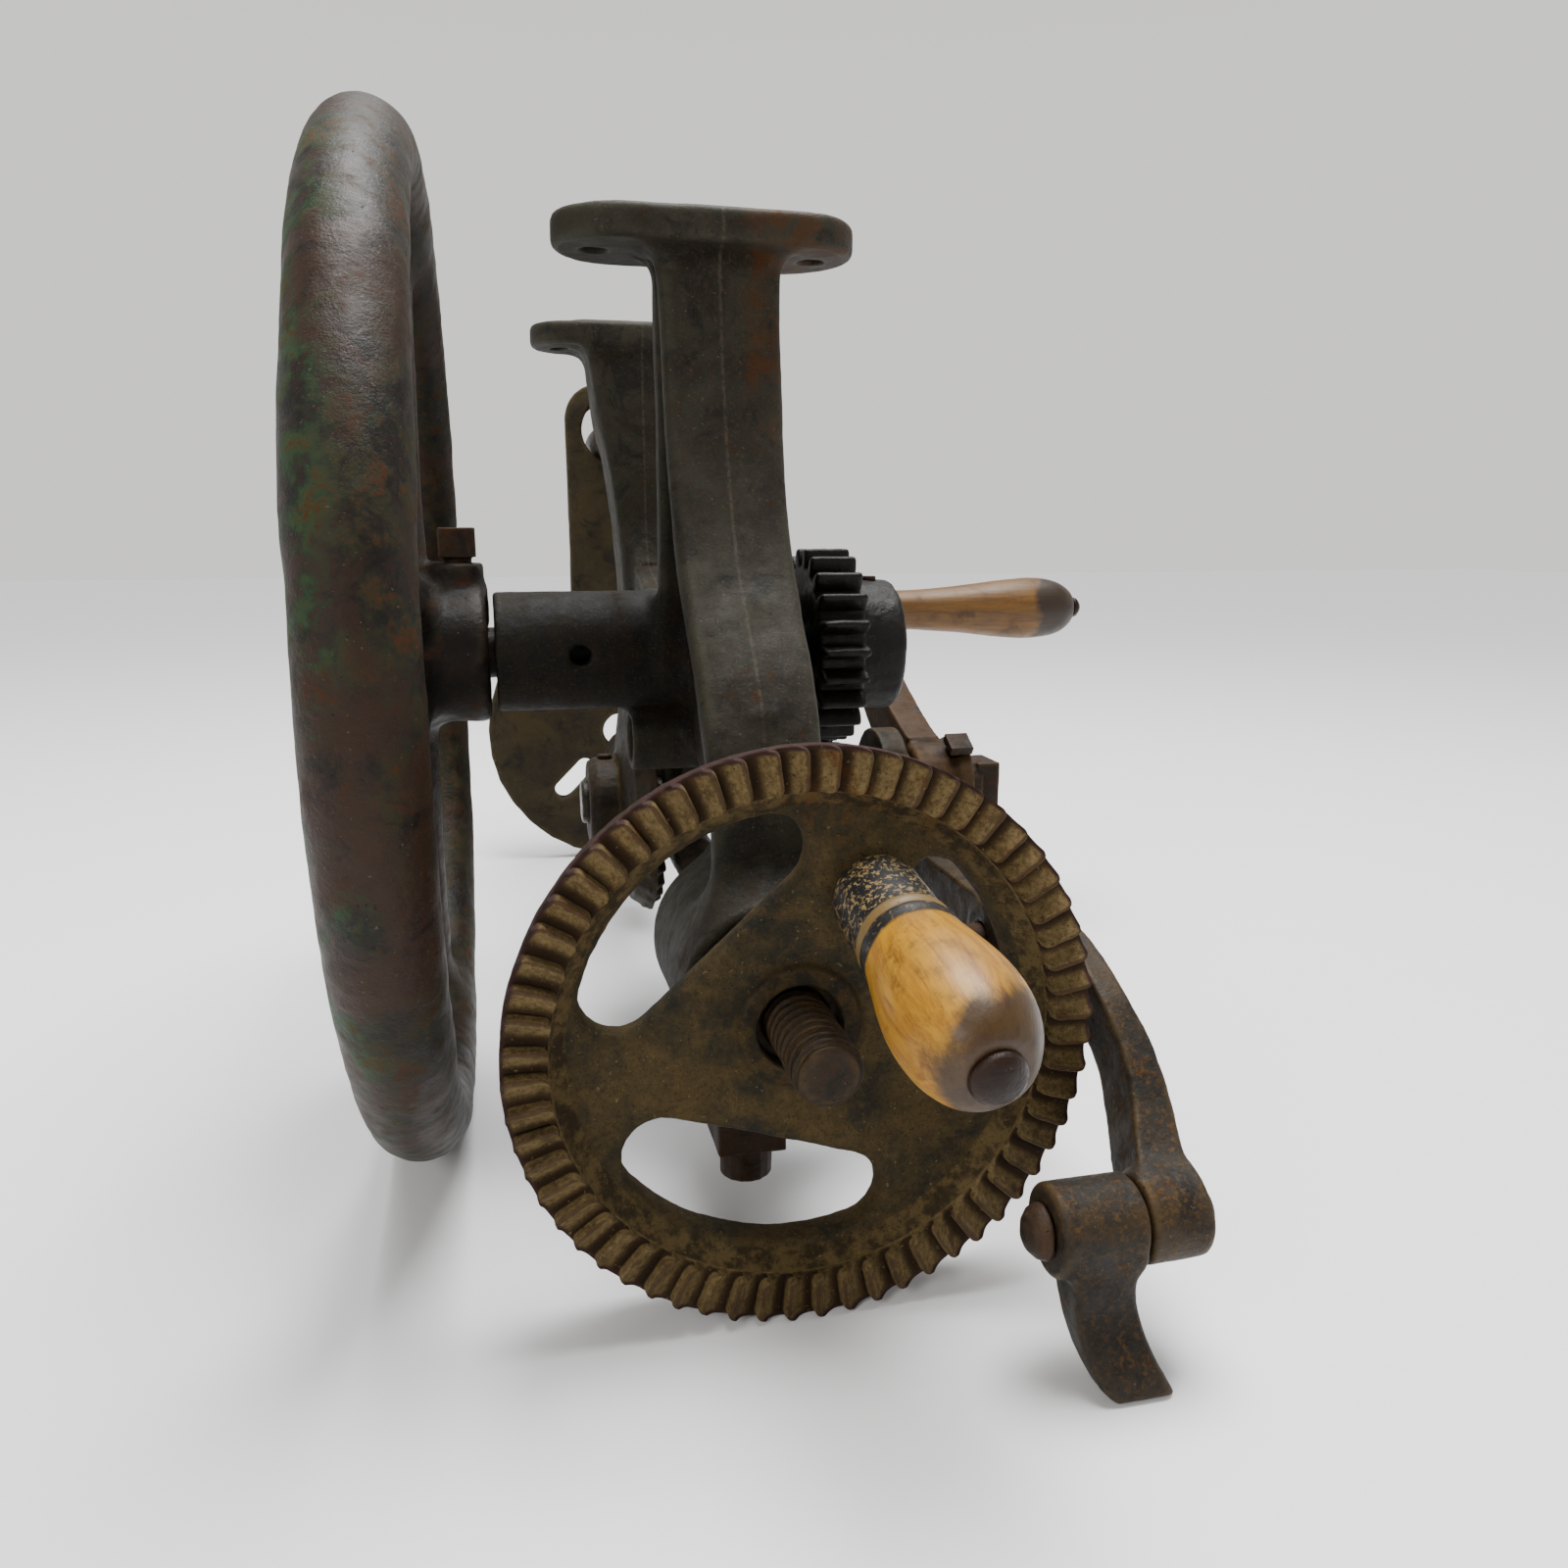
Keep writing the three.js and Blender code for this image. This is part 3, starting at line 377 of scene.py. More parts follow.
def ring_faces(count, rings, closed=False):
    """Four-sided faces from each ring of count points to the next."""
    ring = np.arange(count)
    following = (ring + 1) % count
    quads = []
    for i in range(rings if closed else rings - 1):
        a, b = i * count, (i + 1) % rings * count
        quads.append(np.stack([a + ring, a + following, b + following, b + ring], axis=1))
    return np.vstack(quads)


def end_faces(count, rings):
    """The two many-sided faces that close a stack of rings."""
    ring = np.arange(count)
    return [ring[None, ::-1], (rings - 1) * count + ring[None]]


def turned_mesh(name, profile, segments=72, spacing=1.2):
    """A solid of revolution about Y. profile rows are (radius, distance)."""
    rows = [np.array(profile[0], float)]
    for start, end in zip(profile[:-1], profile[1:]):
        length = math.dist(start, end)
        count = max(int(length / spacing), 1)
        for i in range(1, count + 1):
            rows.append(np.array(start) + (np.array(end) - np.array(start)) * i / count)
    rows = np.array(rows)
    angles = np.arange(segments) * 2 * math.pi / segments
    points = np.stack([
        rows[:, 0, None] * np.cos(angles),
        np.repeat(rows[:, 1, None], segments, axis=1),
        -rows[:, 0, None] * np.sin(angles),
    ], axis=2).reshape(-1, 3)
    faces = [ring_faces(segments, len(rows)), *end_faces(segments, len(rows))]
    return mesh_from(name, points, faces)


# ------------------------------------------------------------------ materials

STRENGTH = 0.38      # a surface's share of its written colour, as the lights are bright
VIVIDNESS = 1.3      # the view's tone curve takes colour out


def srgb(red, green, blue):
    """A colour as it looks in the scene's light, 0 to 255, as a shader colour."""
    linear = [
        c / 12.92 if c <= 0.04045 else ((c + 0.055) / 1.055) ** 2.4
        for c in (red / 255, green / 255, blue / 255)
    ]
    grey = sum(linear) / 3
    return (*(max(STRENGTH * (grey + VIVIDNESS * (c - grey)), 0.0) for c in linear), 1)


class Shader:
    """One material's nodes, with short calls for those used here."""

    def __init__(self, name):
        self.material = bpy.data.materials.new(name)
        self.material.use_nodes = True
        self.tree = self.material.node_tree
        self.tree.nodes.clear()
        output = self.tree.nodes.new("ShaderNodeOutputMaterial")
        self.principled = self.tree.nodes.new("ShaderNodeBsdfPrincipled")
        self.link(self.principled.outputs[0], output.inputs[0])
        coordinates = self.tree.nodes.new("ShaderNodeTexCoord")
        self.object = coordinates.outputs["Object"]

    def link(self, source, socket):
        self.tree.links.new(source, socket)

    def put(self, value, socket):
        if isinstance(value, bpy.types.NodeSocket):
            self.link(value, socket)
        elif value is not None:
            socket.default_value = value

    def math(self, operation, a, b=None, clamp=False):
        node = self.tree.nodes.new("ShaderNodeMath")
        node.operation = operation
        node.use_clamp = clamp
        self.put(a, node.inputs[0])
        self.put(b, node.inputs[1])
        return node.outputs[0]

    def times(self, a, b):
        return self.math("MULTIPLY", a, b)

    def plus(self, a, b):
        return self.math("ADD", a, b)

    def away(self, a, b):
        """Distance from where a and b are both 0."""
        return self.math("SQRT", self.plus(self.math("POWER", a, 2.0), self.math("POWER", b, 2.0)))

    def moved(self, scale=(1, 1, 1)):
        """Object coordinates in millimetres, stretched by scale."""
        node = self.tree.nodes.new("ShaderNodeMapping")
        self.link(self.object, node.inputs["Vector"])
        node.inputs["Scale"].default_value = [s / MM for s in scale]
        return node.outputs[0]

    def noise(self, size, detail=4, rough=0.6, scale=(1, 1, 1), warp=0.0):
        """Noise with features about size millimetres across."""
        node = self.tree.nodes.new("ShaderNodeTexNoise")
        self.link(self.moved(scale), node.inputs["Vector"])
        node.inputs["Scale"].default_value = 1 / size
        node.inputs["Detail"].default_value = detail
        node.inputs["Roughness"].default_value = rough
        node.inputs["Distortion"].default_value = warp
        return node.outputs["Fac"]

    def cells(self, size, feature="F1"):
        node = self.tree.nodes.new("ShaderNodeTexVoronoi")
        node.feature = feature
        self.link(self.moved(), node.inputs["Vector"])
        node.inputs["Scale"].default_value = 1 / size
        return node.outputs["Distance"]

    def ramp(self, value, low, high, to_low=0.0, to_high=1.0):
        node = self.tree.nodes.new("ShaderNodeMapRange")
        node.interpolation_type = "SMOOTHSTEP"
        self.put(value, node.inputs["Value"])
        node.inputs["From Min"].default_value = low
        node.inputs["From Max"].default_value = high
        node.inputs["To Min"].default_value = to_low
        node.inputs["To Max"].default_value = to_high
        return node.outputs["Result"]

    def mix(self, share, a, b):
        """a where share is 0, b where it is 1. Three plain numbers are a colour for srgb."""
        node = self.tree.nodes.new("ShaderNodeMix")
        node.data_type = "RGBA"
        self.put(share, node.inputs["Factor"])
        for value, socket in ((a, node.inputs[6]), (b, node.inputs[7])):
            plain = isinstance(value, (tuple, list)) and len(value) == 3
            self.put(srgb(*value) if plain else value, socket)
        return node.outputs[2]

    def relief(self):
        node = self.tree.nodes.new("ShaderNodeAttribute")
        node.attribute_name = "relief"
        return node.outputs["Fac"]

    def part(self, vector, axis):
        node = self.tree.nodes.new("ShaderNodeSeparateXYZ")
        self.link(vector, node.inputs[0])
        return node.outputs[axis]

    def place(self, axis):
        """Millimetres from the spindle's origin along X, Y or Z."""
        shifted = self.math("SUBTRACT", self.part(self.object, axis), float(ORIGIN[axis]))
        return self.times(shifted, 1 / MM)

    def bump(self, *layers):
        """layers are (height, millimetres deep)."""
        normal = None
        for height, depth in layers:
            node = self.tree.nodes.new("ShaderNodeBump")
            node.inputs["Distance"].default_value = depth * MM
            self.put(height, node.inputs["Height"])
            if normal is not None:
                self.link(normal, node.inputs["Normal"])
            normal = node.outputs[0]
        self.link(normal, self.principled.inputs["Normal"])

    def finish(self, colour, roughness, metallic=0.0, **fixed):
        self.put(colour, self.principled.inputs["Base Color"])
        self.put(roughness, self.principled.inputs["Roughness"])
        self.put(metallic, self.principled.inputs["Metallic"])
        for name, value in fixed.items():
            self.principled.inputs[name.replace("_", " ")].default_value = value
        return self.material


DULLNESS = 0.16                          # how little rust and dust mirror


def old_iron(name, iron, patch, rust, dust, rusty=0.5, dusty=0.5, worn=0.5, rough=0.62,
             grime_and_shade=0.5, paint=None, extra=None):
    """Weathered iron: patchy colour, rust blooms, dust in hollows, grime and painted shade darkening the deepest
    hollows, rubbed edges.
    """
    s = Shader(name)
    relief = s.relief()
    broad = s.noise(34, 5, 0.62, warp=0.6)
    middle = s.noise(9, 6, 0.68, warp=0.3)
    fine = s.noise(1.6, 5, 0.75)
    speck = s.noise(0.7, 3, 0.7)
    colour = s.mix(s.ramp(broad, 0.38, 0.62), iron, patch)
    colour = s.mix(s.times(s.ramp(fine, 0.42, 0.7), 0.35), colour, rust)
    if paint is not None:
        colour = paint(s, colour, broad, middle)
    sooty = s.times(s.ramp(s.noise(15, 7, 0.72, warp=0.9), 0.5, 0.64), 0.75)
    colour = s.mix(sooty, colour, [c * 0.55 for c in patch])
    bloom = s.plus(middle, s.times(broad, 0.55))
    rust_share = s.ramp(bloom, 1.0 - 0.3 * rusty, 1.12 - 0.22 * rusty)
    rust_share = s.times(rust_share, s.ramp(fine, 0.3, 0.62))
    colour = s.mix(rust_share, colour, rust)
    hollow = s.ramp(relief, 0.1, -0.5)
    settled = s.plus(s.times(hollow, 0.9), s.times(middle, 0.8))
    dust_share = s.ramp(settled, 1.05 - 0.75 * dusty, 1.5 - 0.7 * dusty)
    dust_share = s.times(dust_share, s.ramp(speck, 0.25, 0.6, 0.55, 1.0))
    colour = s.mix(dust_share, colour, dust)
    # Grime and painted shade: the deepest hollows are darkened towards near black, standing in for the shade that
    # falls in them.
    deep = s.times(s.ramp(relief, -0.06, -0.4), s.ramp(middle, 0.3, 0.5, 0.5, 1.0))
    colour = s.mix(s.times(deep, grime_and_shade), colour, (26, 22, 18))
    rubbed = s.times(s.ramp(relief, 0.12, 0.75), s.ramp(middle, 0.36, 0.6))
    rubbed = s.times(rubbed, worn)
    bare = [c * 1.25 + 14 for c in iron]
    colour = s.mix(rubbed, colour, bare)
    pits = s.ramp(s.noise(2.6, 4, 0.7), 0.33, 0.27)
    colour = s.mix(s.times(pits, 0.6), colour, [c * 0.35 for c in iron])
    pale = s.times(s.ramp(s.noise(1.1, 2, 0.5), 0.7, 0.76), 0.5)
    colour = s.mix(pale, colour, (150, 140, 120))
    if extra is not None:
        colour = extra(s, colour, middle, fine)
    matt = s.plus(s.times(dust_share, 0.3), s.times(rust_share, 0.18))
    gloss = s.plus(matt, s.ramp(middle, 0.3, 0.7, rough - 0.1, rough + 0.1))
    gloss = s.math("SUBTRACT", gloss, s.times(rubbed, 0.22), clamp=True)
    metal = s.math("SUBTRACT", s.times(rubbed, 0.5), dust_share, clamp=True)
    s.bump((broad, 0.6), (middle, 0.5), (fine, 0.22), (speck, 0.08), (pits, -0.35))
    return s.finish(colour, gloss, metal, Specular_IOR_Level=DULLNESS)


def flywheel_paint(s, colour, broad, middle):
    """Remains of green paint, most on the outer left side of the rim."""
    side = s.ramp(s.place(0), SHAFT[0] - 108, SHAFT[0] - 124)
    share = s.times(s.ramp(broad, 0.4, 0.56), s.plus(side, 0.3))
    share = s.math("MULTIPLY", share, s.ramp(middle, 0.4, 0.56), clamp=True)
    green = s.mix(s.ramp(middle, 0.35, 0.65), (32, 54, 36), (54, 90, 56))
    colour = s.mix(s.times(s.ramp(broad, 0.58, 0.48), 0.5), colour, (66, 42, 32))
    colour = s.mix(share, colour, green)
    return greasy(s, colour, middle, SHAFT[1:], 38)


def greasy(s, colour, middle, centre, radius):
    """Old black grease round an X axis through centre (Y, Z)."""
    across = s.away(s.math("SUBTRACT", s.place(1), centre[0]),
                    s.math("SUBTRACT", s.place(2), centre[1]))
    reach = s.plus(across, s.times(middle, 12.0))
    share = s.ramp(reach, radius + 9, radius + 2)
    tone = s.mix(s.ramp(middle, 0.4, 0.62), (19, 17, 15), (44, 35, 26))
    return s.mix(s.times(share, 0.85), colour, tone)


def gritty(s, colour, middle, fine):
    """Fine tan rust grains and small dark pits."""
    grains = s.times(s.ramp(fine, 0.5, 0.6), s.ramp(middle, 0.4, 0.6, 0.1, 0.5))
    colour = s.mix(grains, colour, (118, 94, 62))
    spots = s.times(s.ramp(s.noise(1.9, 4, 0.7), 0.62, 0.68), 0.8)
    return s.mix(spots, colour, (30, 26, 22))


def mould_line(s, colour, middle, fine):
    """A pale rough line down the front of the casting, rust at its right, grease below."""
    colour = greasy(s, colour, middle, SHAFT[1:], 31)
    off_line = s.math("ABSOLUTE", s.plus(s.place(0), 0.5))
    line = s.times(s.ramp(off_line, 0.9, 0.2), s.ramp(s.place(2), 60, 90))
    line = s.times(line, s.ramp(fine, 0.35, 0.6))
    colour = s.mix(s.times(line, 0.35), colour, (120, 112, 98))
    grain = s.times(s.ramp(s.noise(1.0, 4, 0.8), 0.54, 0.66), 0.5)
    colour = s.mix(grain, colour, (96, 90, 72))
    stain = s.times(s.ramp(s.place(0), 4, 13), s.ramp(s.place(2), 150, 200))
    stain = s.times(stain, s.ramp(middle, 0.4, 0.62))
    return s.mix(s.times(stain, 0.6), colour, (92, 58, 34))


def feed_wheel_material():
    """Iron under dry tan dust: worn brown crests, and painted shade with some dirt darkening the gaps between the
    teeth to near black.
    """
    s = Shader("feed_wheel_dusty_iron")
    relief = s.relief()
    radius = s.away(s.place(0), s.place(2))
    broad = s.noise(22, 6, 0.64, warp=0.6)
    middle = s.noise(6, 6, 0.7)
    fine = s.noise(1.4, 5, 0.75)
    web = s.mix(s.ramp(broad, 0.36, 0.66), (98, 84, 60), (54, 54, 47))
    web = s.mix(s.times(s.ramp(middle, 0.42, 0.7), 0.6), web, (118, 101, 72))
    web = s.mix(s.times(s.ramp(fine, 0.46, 0.66), 0.5), web, (48, 44, 34))
    hub = s.mix(s.ramp(middle, 0.4, 0.6), (50, 46, 38), (84, 70, 48))
    web = s.mix(s.ramp(radius, 22, 17), web, hub)
    tan = s.mix(s.ramp(fine, 0.32, 0.68), (108, 92, 66), (152, 133, 100))
    tan = s.mix(s.times(s.ramp(middle, 0.5, 0.66), 0.7), tan, (80, 66, 46))
    # Painted shade with some dirt: the ramps darken towards the valleys, where shade falls.
    tan = s.mix(s.ramp(relief, -0.45, -0.9), tan, (58, 43, 28))
    crest = s.ramp(s.plus(relief, s.times(middle, 0.5)), 0.9, 1.1)
    teeth = s.mix(s.times(crest, 0.8), tan, (82, 62, 44))
    # Painted shade with some dirt: the valley bottoms by the steep faces are near black.
    teeth = s.mix(s.ramp(relief, -0.93, -1.0), teeth, (32, 23, 16))
    in_ring = s.times(s.ramp(radius, 70.9, 71.4), s.ramp(s.place(1), 6.5, 5))
    slope = s.mix(s.ramp(middle, 0.4, 0.6), (66, 56, 40), (118, 102, 74))
    web = s.mix(s.ramp(radius, 66.2, 67), web, slope)
    colour = s.mix(in_ring, web, teeth)
    rust_share = s.times(s.ramp(s.place(2), 20, 80), s.ramp(broad, 0.45, 0.62))
    rust_share = s.times(rust_share, s.ramp(middle, 0.42, 0.62))
    colour = s.mix(s.times(rust_share, 0.6), colour, (112, 66, 32))
    rim = s.times(s.ramp(radius, 82.4, 83.6), s.ramp(middle, 0.25, 0.5, 0.6, 1.0))
    colour = s.mix(rim, colour, (70, 50, 46))
    speck = s.times(s.ramp(s.noise(0.9, 3, 0.6), 0.6, 0.68), 0.7)
    colour = s.mix(speck, colour, (40, 31, 23))
    pale = s.times(s.ramp(s.noise(1.3, 2, 0.5), 0.68, 0.74), 0.5)
    colour = s.mix(pale, colour, (168, 148, 112))
    rough = s.ramp(crest, 0.0, 1.0, 0.85, 0.5)
    s.bump((broad, 0.35), (middle, 0.35), (fine, 0.25), (s.noise(0.6, 3, 0.7), 0.1))
    return s.finish(colour, rough, s.times(crest, 0.2), Specular_IOR_Level=DULLNESS)


def wood(name, pale, dark, stain, neck=None, tip=None, coat=0.5):
    """Turned, varnished wood about local Y, with grain along it."""
    s = Shader(name)
    along = s.times(s.part(s.object, 1), 1 / MM)
    grain = s.noise(3.2, 6, 0.66, scale=(1, 0.07, 1), warp=0.7)
    fine = s.noise(0.8, 5, 0.7, scale=(1, 0.06, 1))
    clouds = s.noise(15, 5, 0.6, warp=0.6)
    colour = s.mix(s.ramp(grain, 0.38, 0.72), pale, dark)
    colour = s.mix(s.times(s.ramp(fine, 0.54, 0.72), 0.5), colour, stain)
    blot = s.times(s.ramp(clouds, 0.5, 0.66), s.ramp(s.noise(6, 5, 0.65), 0.4, 0.6))
    colour = s.mix(s.times(blot, 0.65), colour, stain)
    gloss = s.ramp(clouds, 0.3, 0.7, 0.42, 0.6)
    if tip is not None:
        start, tip_colour = tip
        aside = s.times(s.part(s.object, 0), 0.4 / MM)
        ragged = s.plus(along, s.plus(aside, s.times(clouds, 16.0)))
        share = s.ramp(ragged, start + 6, start + 12)
        colour = s.mix(s.times(share, 0.9), colour, tip_colour)
    if neck is not None:
        colour, gloss = neck(s, along, colour, gloss)
    s.bump((grain, 0.15), (fine, 0.07), (s.noise(0.5, 2, 0.6), 0.03))
    return s.finish(colour, gloss, 0.0, Coat_Weight=coat, Coat_Roughness=0.24,
                    Specular_IOR_Level=0.3)


NECK_END = 24.5                          # along the feed handle, from its base
TAN_BAND = 28.5
BLACK_BAND = 34.0


def painted_neck(s, along, colour, gloss):
    """Black paint worn to tan on the neck, then a tan band and a black band."""
    flakes = s.noise(1.5, 5, 0.66, warp=0.8)
    worn = s.ramp(flakes, 0.53, 0.57)
    neck = s.mix(worn, (22, 22, 23), (176, 152, 112))
    wavy = s.plus(along, s.times(s.noise(8, 3, 0.5), 3.0))
    band = s.mix(s.ramp(flakes, 0.6, 0.66), (146, 122, 84), (84, 66, 46))
    black = s.mix(s.ramp(flakes, 0.56, 0.62), (26, 25, 25), (128, 108, 78))
    result = s.mix(s.ramp(wavy, NECK_END + 1, NECK_END + 2), neck, band)
    result = s.mix(s.ramp(wavy, TAN_BAND + 1, TAN_BAND + 2), result, black)
    bare = s.ramp(wavy, BLACK_BAND + 0.5, BLACK_BAND + 2.5)
    gloss = s.mix(bare, (0.55, 0.55, 0.55, 1), gloss)
    return s.mix(bare, result, colour), gloss


MATERIALS = {
    "frame_iron": old_iron(
        "frame_weathered_iron", (62, 61, 51), (42, 40, 33), (84, 56, 36), (96, 85, 62),
        rusty=0.4, dusty=0.22, worn=0.5, rough=0.66, grime_and_shade=0.9, extra=mould_line),
    "flywheel_iron": old_iron(
        "flywheel_painted_iron", (56, 48, 38), (30, 28, 24), (88, 54, 34), (92, 78, 54),
        rusty=0.7, dusty=0.1, worn=0.45, rough=0.5, grime_and_shade=0.8, paint=flywheel_paint),
    "gear_iron": old_iron(
        "greasy_gear_iron", (30, 27, 23), (18, 17, 15), (50, 36, 25), (64, 52, 38),
        rusty=0.3, dusty=0.15, worn=0.5, rough=0.42, grime_and_shade=0.9),
    "crown_iron": old_iron(
        "dusty_gear_iron", (66, 57, 42), (42, 37, 30), (96, 68, 42), (132, 112, 80),
        rusty=0.4, dusty=0.45, worn=0.5, grime_and_shade=0.8),
    "arm_iron": old_iron(
        "brown_arm_iron", (84, 64, 44), (56, 45, 34), (110, 72, 40), (116, 94, 64),
        rusty=0.6, dusty=0.25, worn=0.5, grime_and_shade=0.7),
    "lever_iron": old_iron(
        "rusty_forged_iron", (72, 60, 44), (48, 46, 42), (88, 60, 34), (112, 92, 62),
        rusty=0.5, dusty=0.3, worn=0.6, rough=0.56, grime_and_shade=0.8, extra=gritty),
    "table_iron": old_iron(
        "table_olive_iron", (72, 64, 44), (50, 45, 34), (88, 66, 42), (100, 86, 60),
        rusty=0.35, dusty=0.3, worn=0.4, grime_and_shade=0.8),
    "column_steel": old_iron(
        "brown_column_steel", (78, 66, 52), (56, 48, 40), (104, 70, 42), (110, 92, 64),
        rusty=0.5, dusty=0.2, worn=0.6, rough=0.42),
    "shaft_steel": old_iron(
        "oily_shaft_steel", (70, 64, 56), (42, 38, 33), (84, 58, 38), (92, 78, 56),
        rusty=0.35, dusty=0.2, worn=0.8, rough=0.36),
    "screw_iron": old_iron(
        "dusty_screw_iron", (70, 56, 38), (44, 36, 26), (92, 62, 36), (130, 108, 70),
        rusty=0.4, dusty=0.55, worn=0.6, rough=0.55, grime_and_shade=0.9),
    "rusty_fastener": old_iron(
        "rusty_bolt_iron", (66, 52, 40), (44, 37, 31), (98, 60, 34), (104, 84, 56),
        rusty=0.55, dusty=0.25, worn=0.6, grime_and_shade=0.7),
    "rivet_iron": old_iron(
        "shiny_rivet_iron", (50, 36, 29), (32, 24, 21), (72, 44, 28), (84, 64, 42),
        rusty=0.25, dusty=0.05, worn=0.35, rough=0.36),
    "feed_wheel_iron": feed_wheel_material(),
    "honey_wood": wood(
        "honey_varnished_wood", (224, 172, 94), (176, 122, 60), (86, 50, 28),
        neck=painted_neck, tip=(72, (40, 24, 15)), coat=0.16),
    "dark_wood": wood(
        "brown_turned_wood", (146, 108, 64), (108, 76, 44), (68, 45, 28),
        tip=(222, (40, 30, 22)), coat=0.08),
}


# ---------------------------------------------------------------- main casting

NEAR_ARM = [                             # front of the near arm: Y, Z, half width
    (128, 240, 21.5), (125, 215, 21), (121, 185, 20.6), (114, 159, 20.2),
    (103, 133, 19.8), (89, 115, 19.6), (75, 100, 19.4), (65, 86, 19), (58, 72, 18.6),
    (53, 56, 18.2), (50, 38, 18), (49, 16, 18), (49, -6, 18),
]
FAR_ARM = [
    (346, 240, 29), (346, 212, 26), (346, 190, 22), (346, 164, 18),
    (346, 136, 14.5), (346, 108, 12.5), (346, 60, 12.5), (346, 0, 12.5),
]
SPINE = [                                # the web that joins the two arms
    (72, 92), (92, 112), (128, 128), (150, 122), (200, 116), (300, 112), (338, 122),
    (350, 140), (386, 140), (386, 6), (350, 6), (330, 40), (300, 62), (262, 64),
    (250, 26), (200, 22), (186, 46), (150, 56), (112, 40), (96, 24), (60, 10), (60, 60),
]
NEAR_WEB = [                             # between the near arm's front and back flanges
    (60, 40), (62, 84), (80, 102), (96, 120), (108, 140), (119, 168), (126, 195),
    (131, 238), (148, 238), (148, 90), (110, 60),
]
FOOT_TOP = 243.5
FOOT_BOTTOM = 232.5
FOOT_X = -3
FOOT_HALF = (52.5, 24)                   # half length and the radius of its round ends
FOOT_HOLE_X = 38
FOOT_Y = (142, 366)
COLUMN_Z = 198.4
BARREL = (165, 60.5)                     # an empty bearing boss under the shaft


def strap(grid, stations, depth, corner):
    path = smooth_path(stations, 44)
    outline = polygon(grid.y, grid.z, ribbon(path[:, :2], depth))
    half = np.interp(grid.z, path[::-1, 1], path[::-1, 2]).astype(np.float32)
    return both(outline, np.abs(grid.x) - half, corner)


def foot(grid, middle):
    straight = FOOT_HALF[0] - FOOT_HALF[1]
    u = np.maximum(np.abs(grid.x - FOOT_X) - straight, 0)
    outline = np.hypot(u, grid.y - middle) - FOOT_HALF[1]
    return prism(outline, grid.z, FOOT_BOTTOM, FOOT_TOP, 2.6)


def main_casting():
    g = Grid((-82, 38, -40), (52, 406, 245), 1.15)
    x, y, z = g.x, g.y, g.z
    near = strap(g, NEAR_ARM, 11, 5)
    back_flange = brick(x, y - 146.5, z - 165, (20.5, 4.5, 76), 2)
    web = prism(polygon(y, z, NEAR_WEB), x, -5, 5, 2)
    near = join(join(near, web, 4), back_flange, 4)
    far = strap(g, FAR_ARM, 40, 5)
    hollow = brick(x, y - 376, z - 190, (7, 9, 34), 2)
    far = without(far, hollow, 3)
    body = join(join(near, foot(g, FOOT_Y[0]), 9), join(far, foot(g, FOOT_Y[1]), 9), 1)
    body = join(body, prism(polygon(y, z, SPINE), x, -8, 8, 2), 9)

    def along_x(centre, *size):
        return rod(y - centre[0], z - centre[1], x, *size)

    def along_y(height, *size):
        return rod(x, z - height, y, *size)

    for boss, fillet in (
        (along_x(SHAFT[1:], 22.2, -80.3, 33.5, 1.2), 7),
        (along_x(CRANK[1:], 19, -11, 33.5, 1.2), 7),
        (along_x(BARREL, 13, -31, 4, 1), 6),
        (along_y(0, 31, 38, 104, 2.5), 12),
        (along_y(0, 22, 345, 402, 2), 8),
        (along_y(COLUMN_Z, 21, 353, 404, 2), 8),
        (along_x(LEVER_PIVOT[1:], 13, 12, 40, 1), 6),
        (brick(x + 8, y - 56, z + 28, (14, 11, 10), 2), 5),
    ):
        body = join(body, boss, fillet)
    for bore in (
        along_x(SHAFT[1:], 9.9, -95, 45, SHARP),
        along_x(CRANK[1:], 9.9, -40, 45, SHARP),
        along_x(BARREL, 9.5, -45, -12, SHARP),
        along_y(0, 15.9, 20, 112, SHARP),
        along_y(0, 17, 104, 341, SHARP),
        along_y(0, 10.4, 300, 420, SHARP),
        along_y(COLUMN_Z, 13.5, 361.5, 420, SHARP),
        along_x(LEVER_PIVOT[1:], 6.8, 19, 60, SHARP),
        rod(x + 8, y - 56, z, 5.3, -60, -26, SHARP),
        rod(x + 50, z - SHAFT[2], y, 3.8, 90, SHAFT[1] - 4, SHARP),
        rod(x - 20, y - CRANK[1], z, 3, CRANK[2], CRANK[2] + 40, SHARP),
        *(rod(x - FOOT_X - side * FOOT_HOLE_X, y - middle, z, 4.5, 180, 260, SHARP)
          for side in (-1, 1) for middle in FOOT_Y),
    ):
        body = without(body, bore, 0.9)
    cast_piece("main_casting", g, body, ["frame"], MATERIALS["frame_iron"], reach=0.6)


# ------------------------------------------------------------------ flywheel

FLY_X = -111
RIM_R = 164
RIM_SECTION = 15
SPOKES = 5


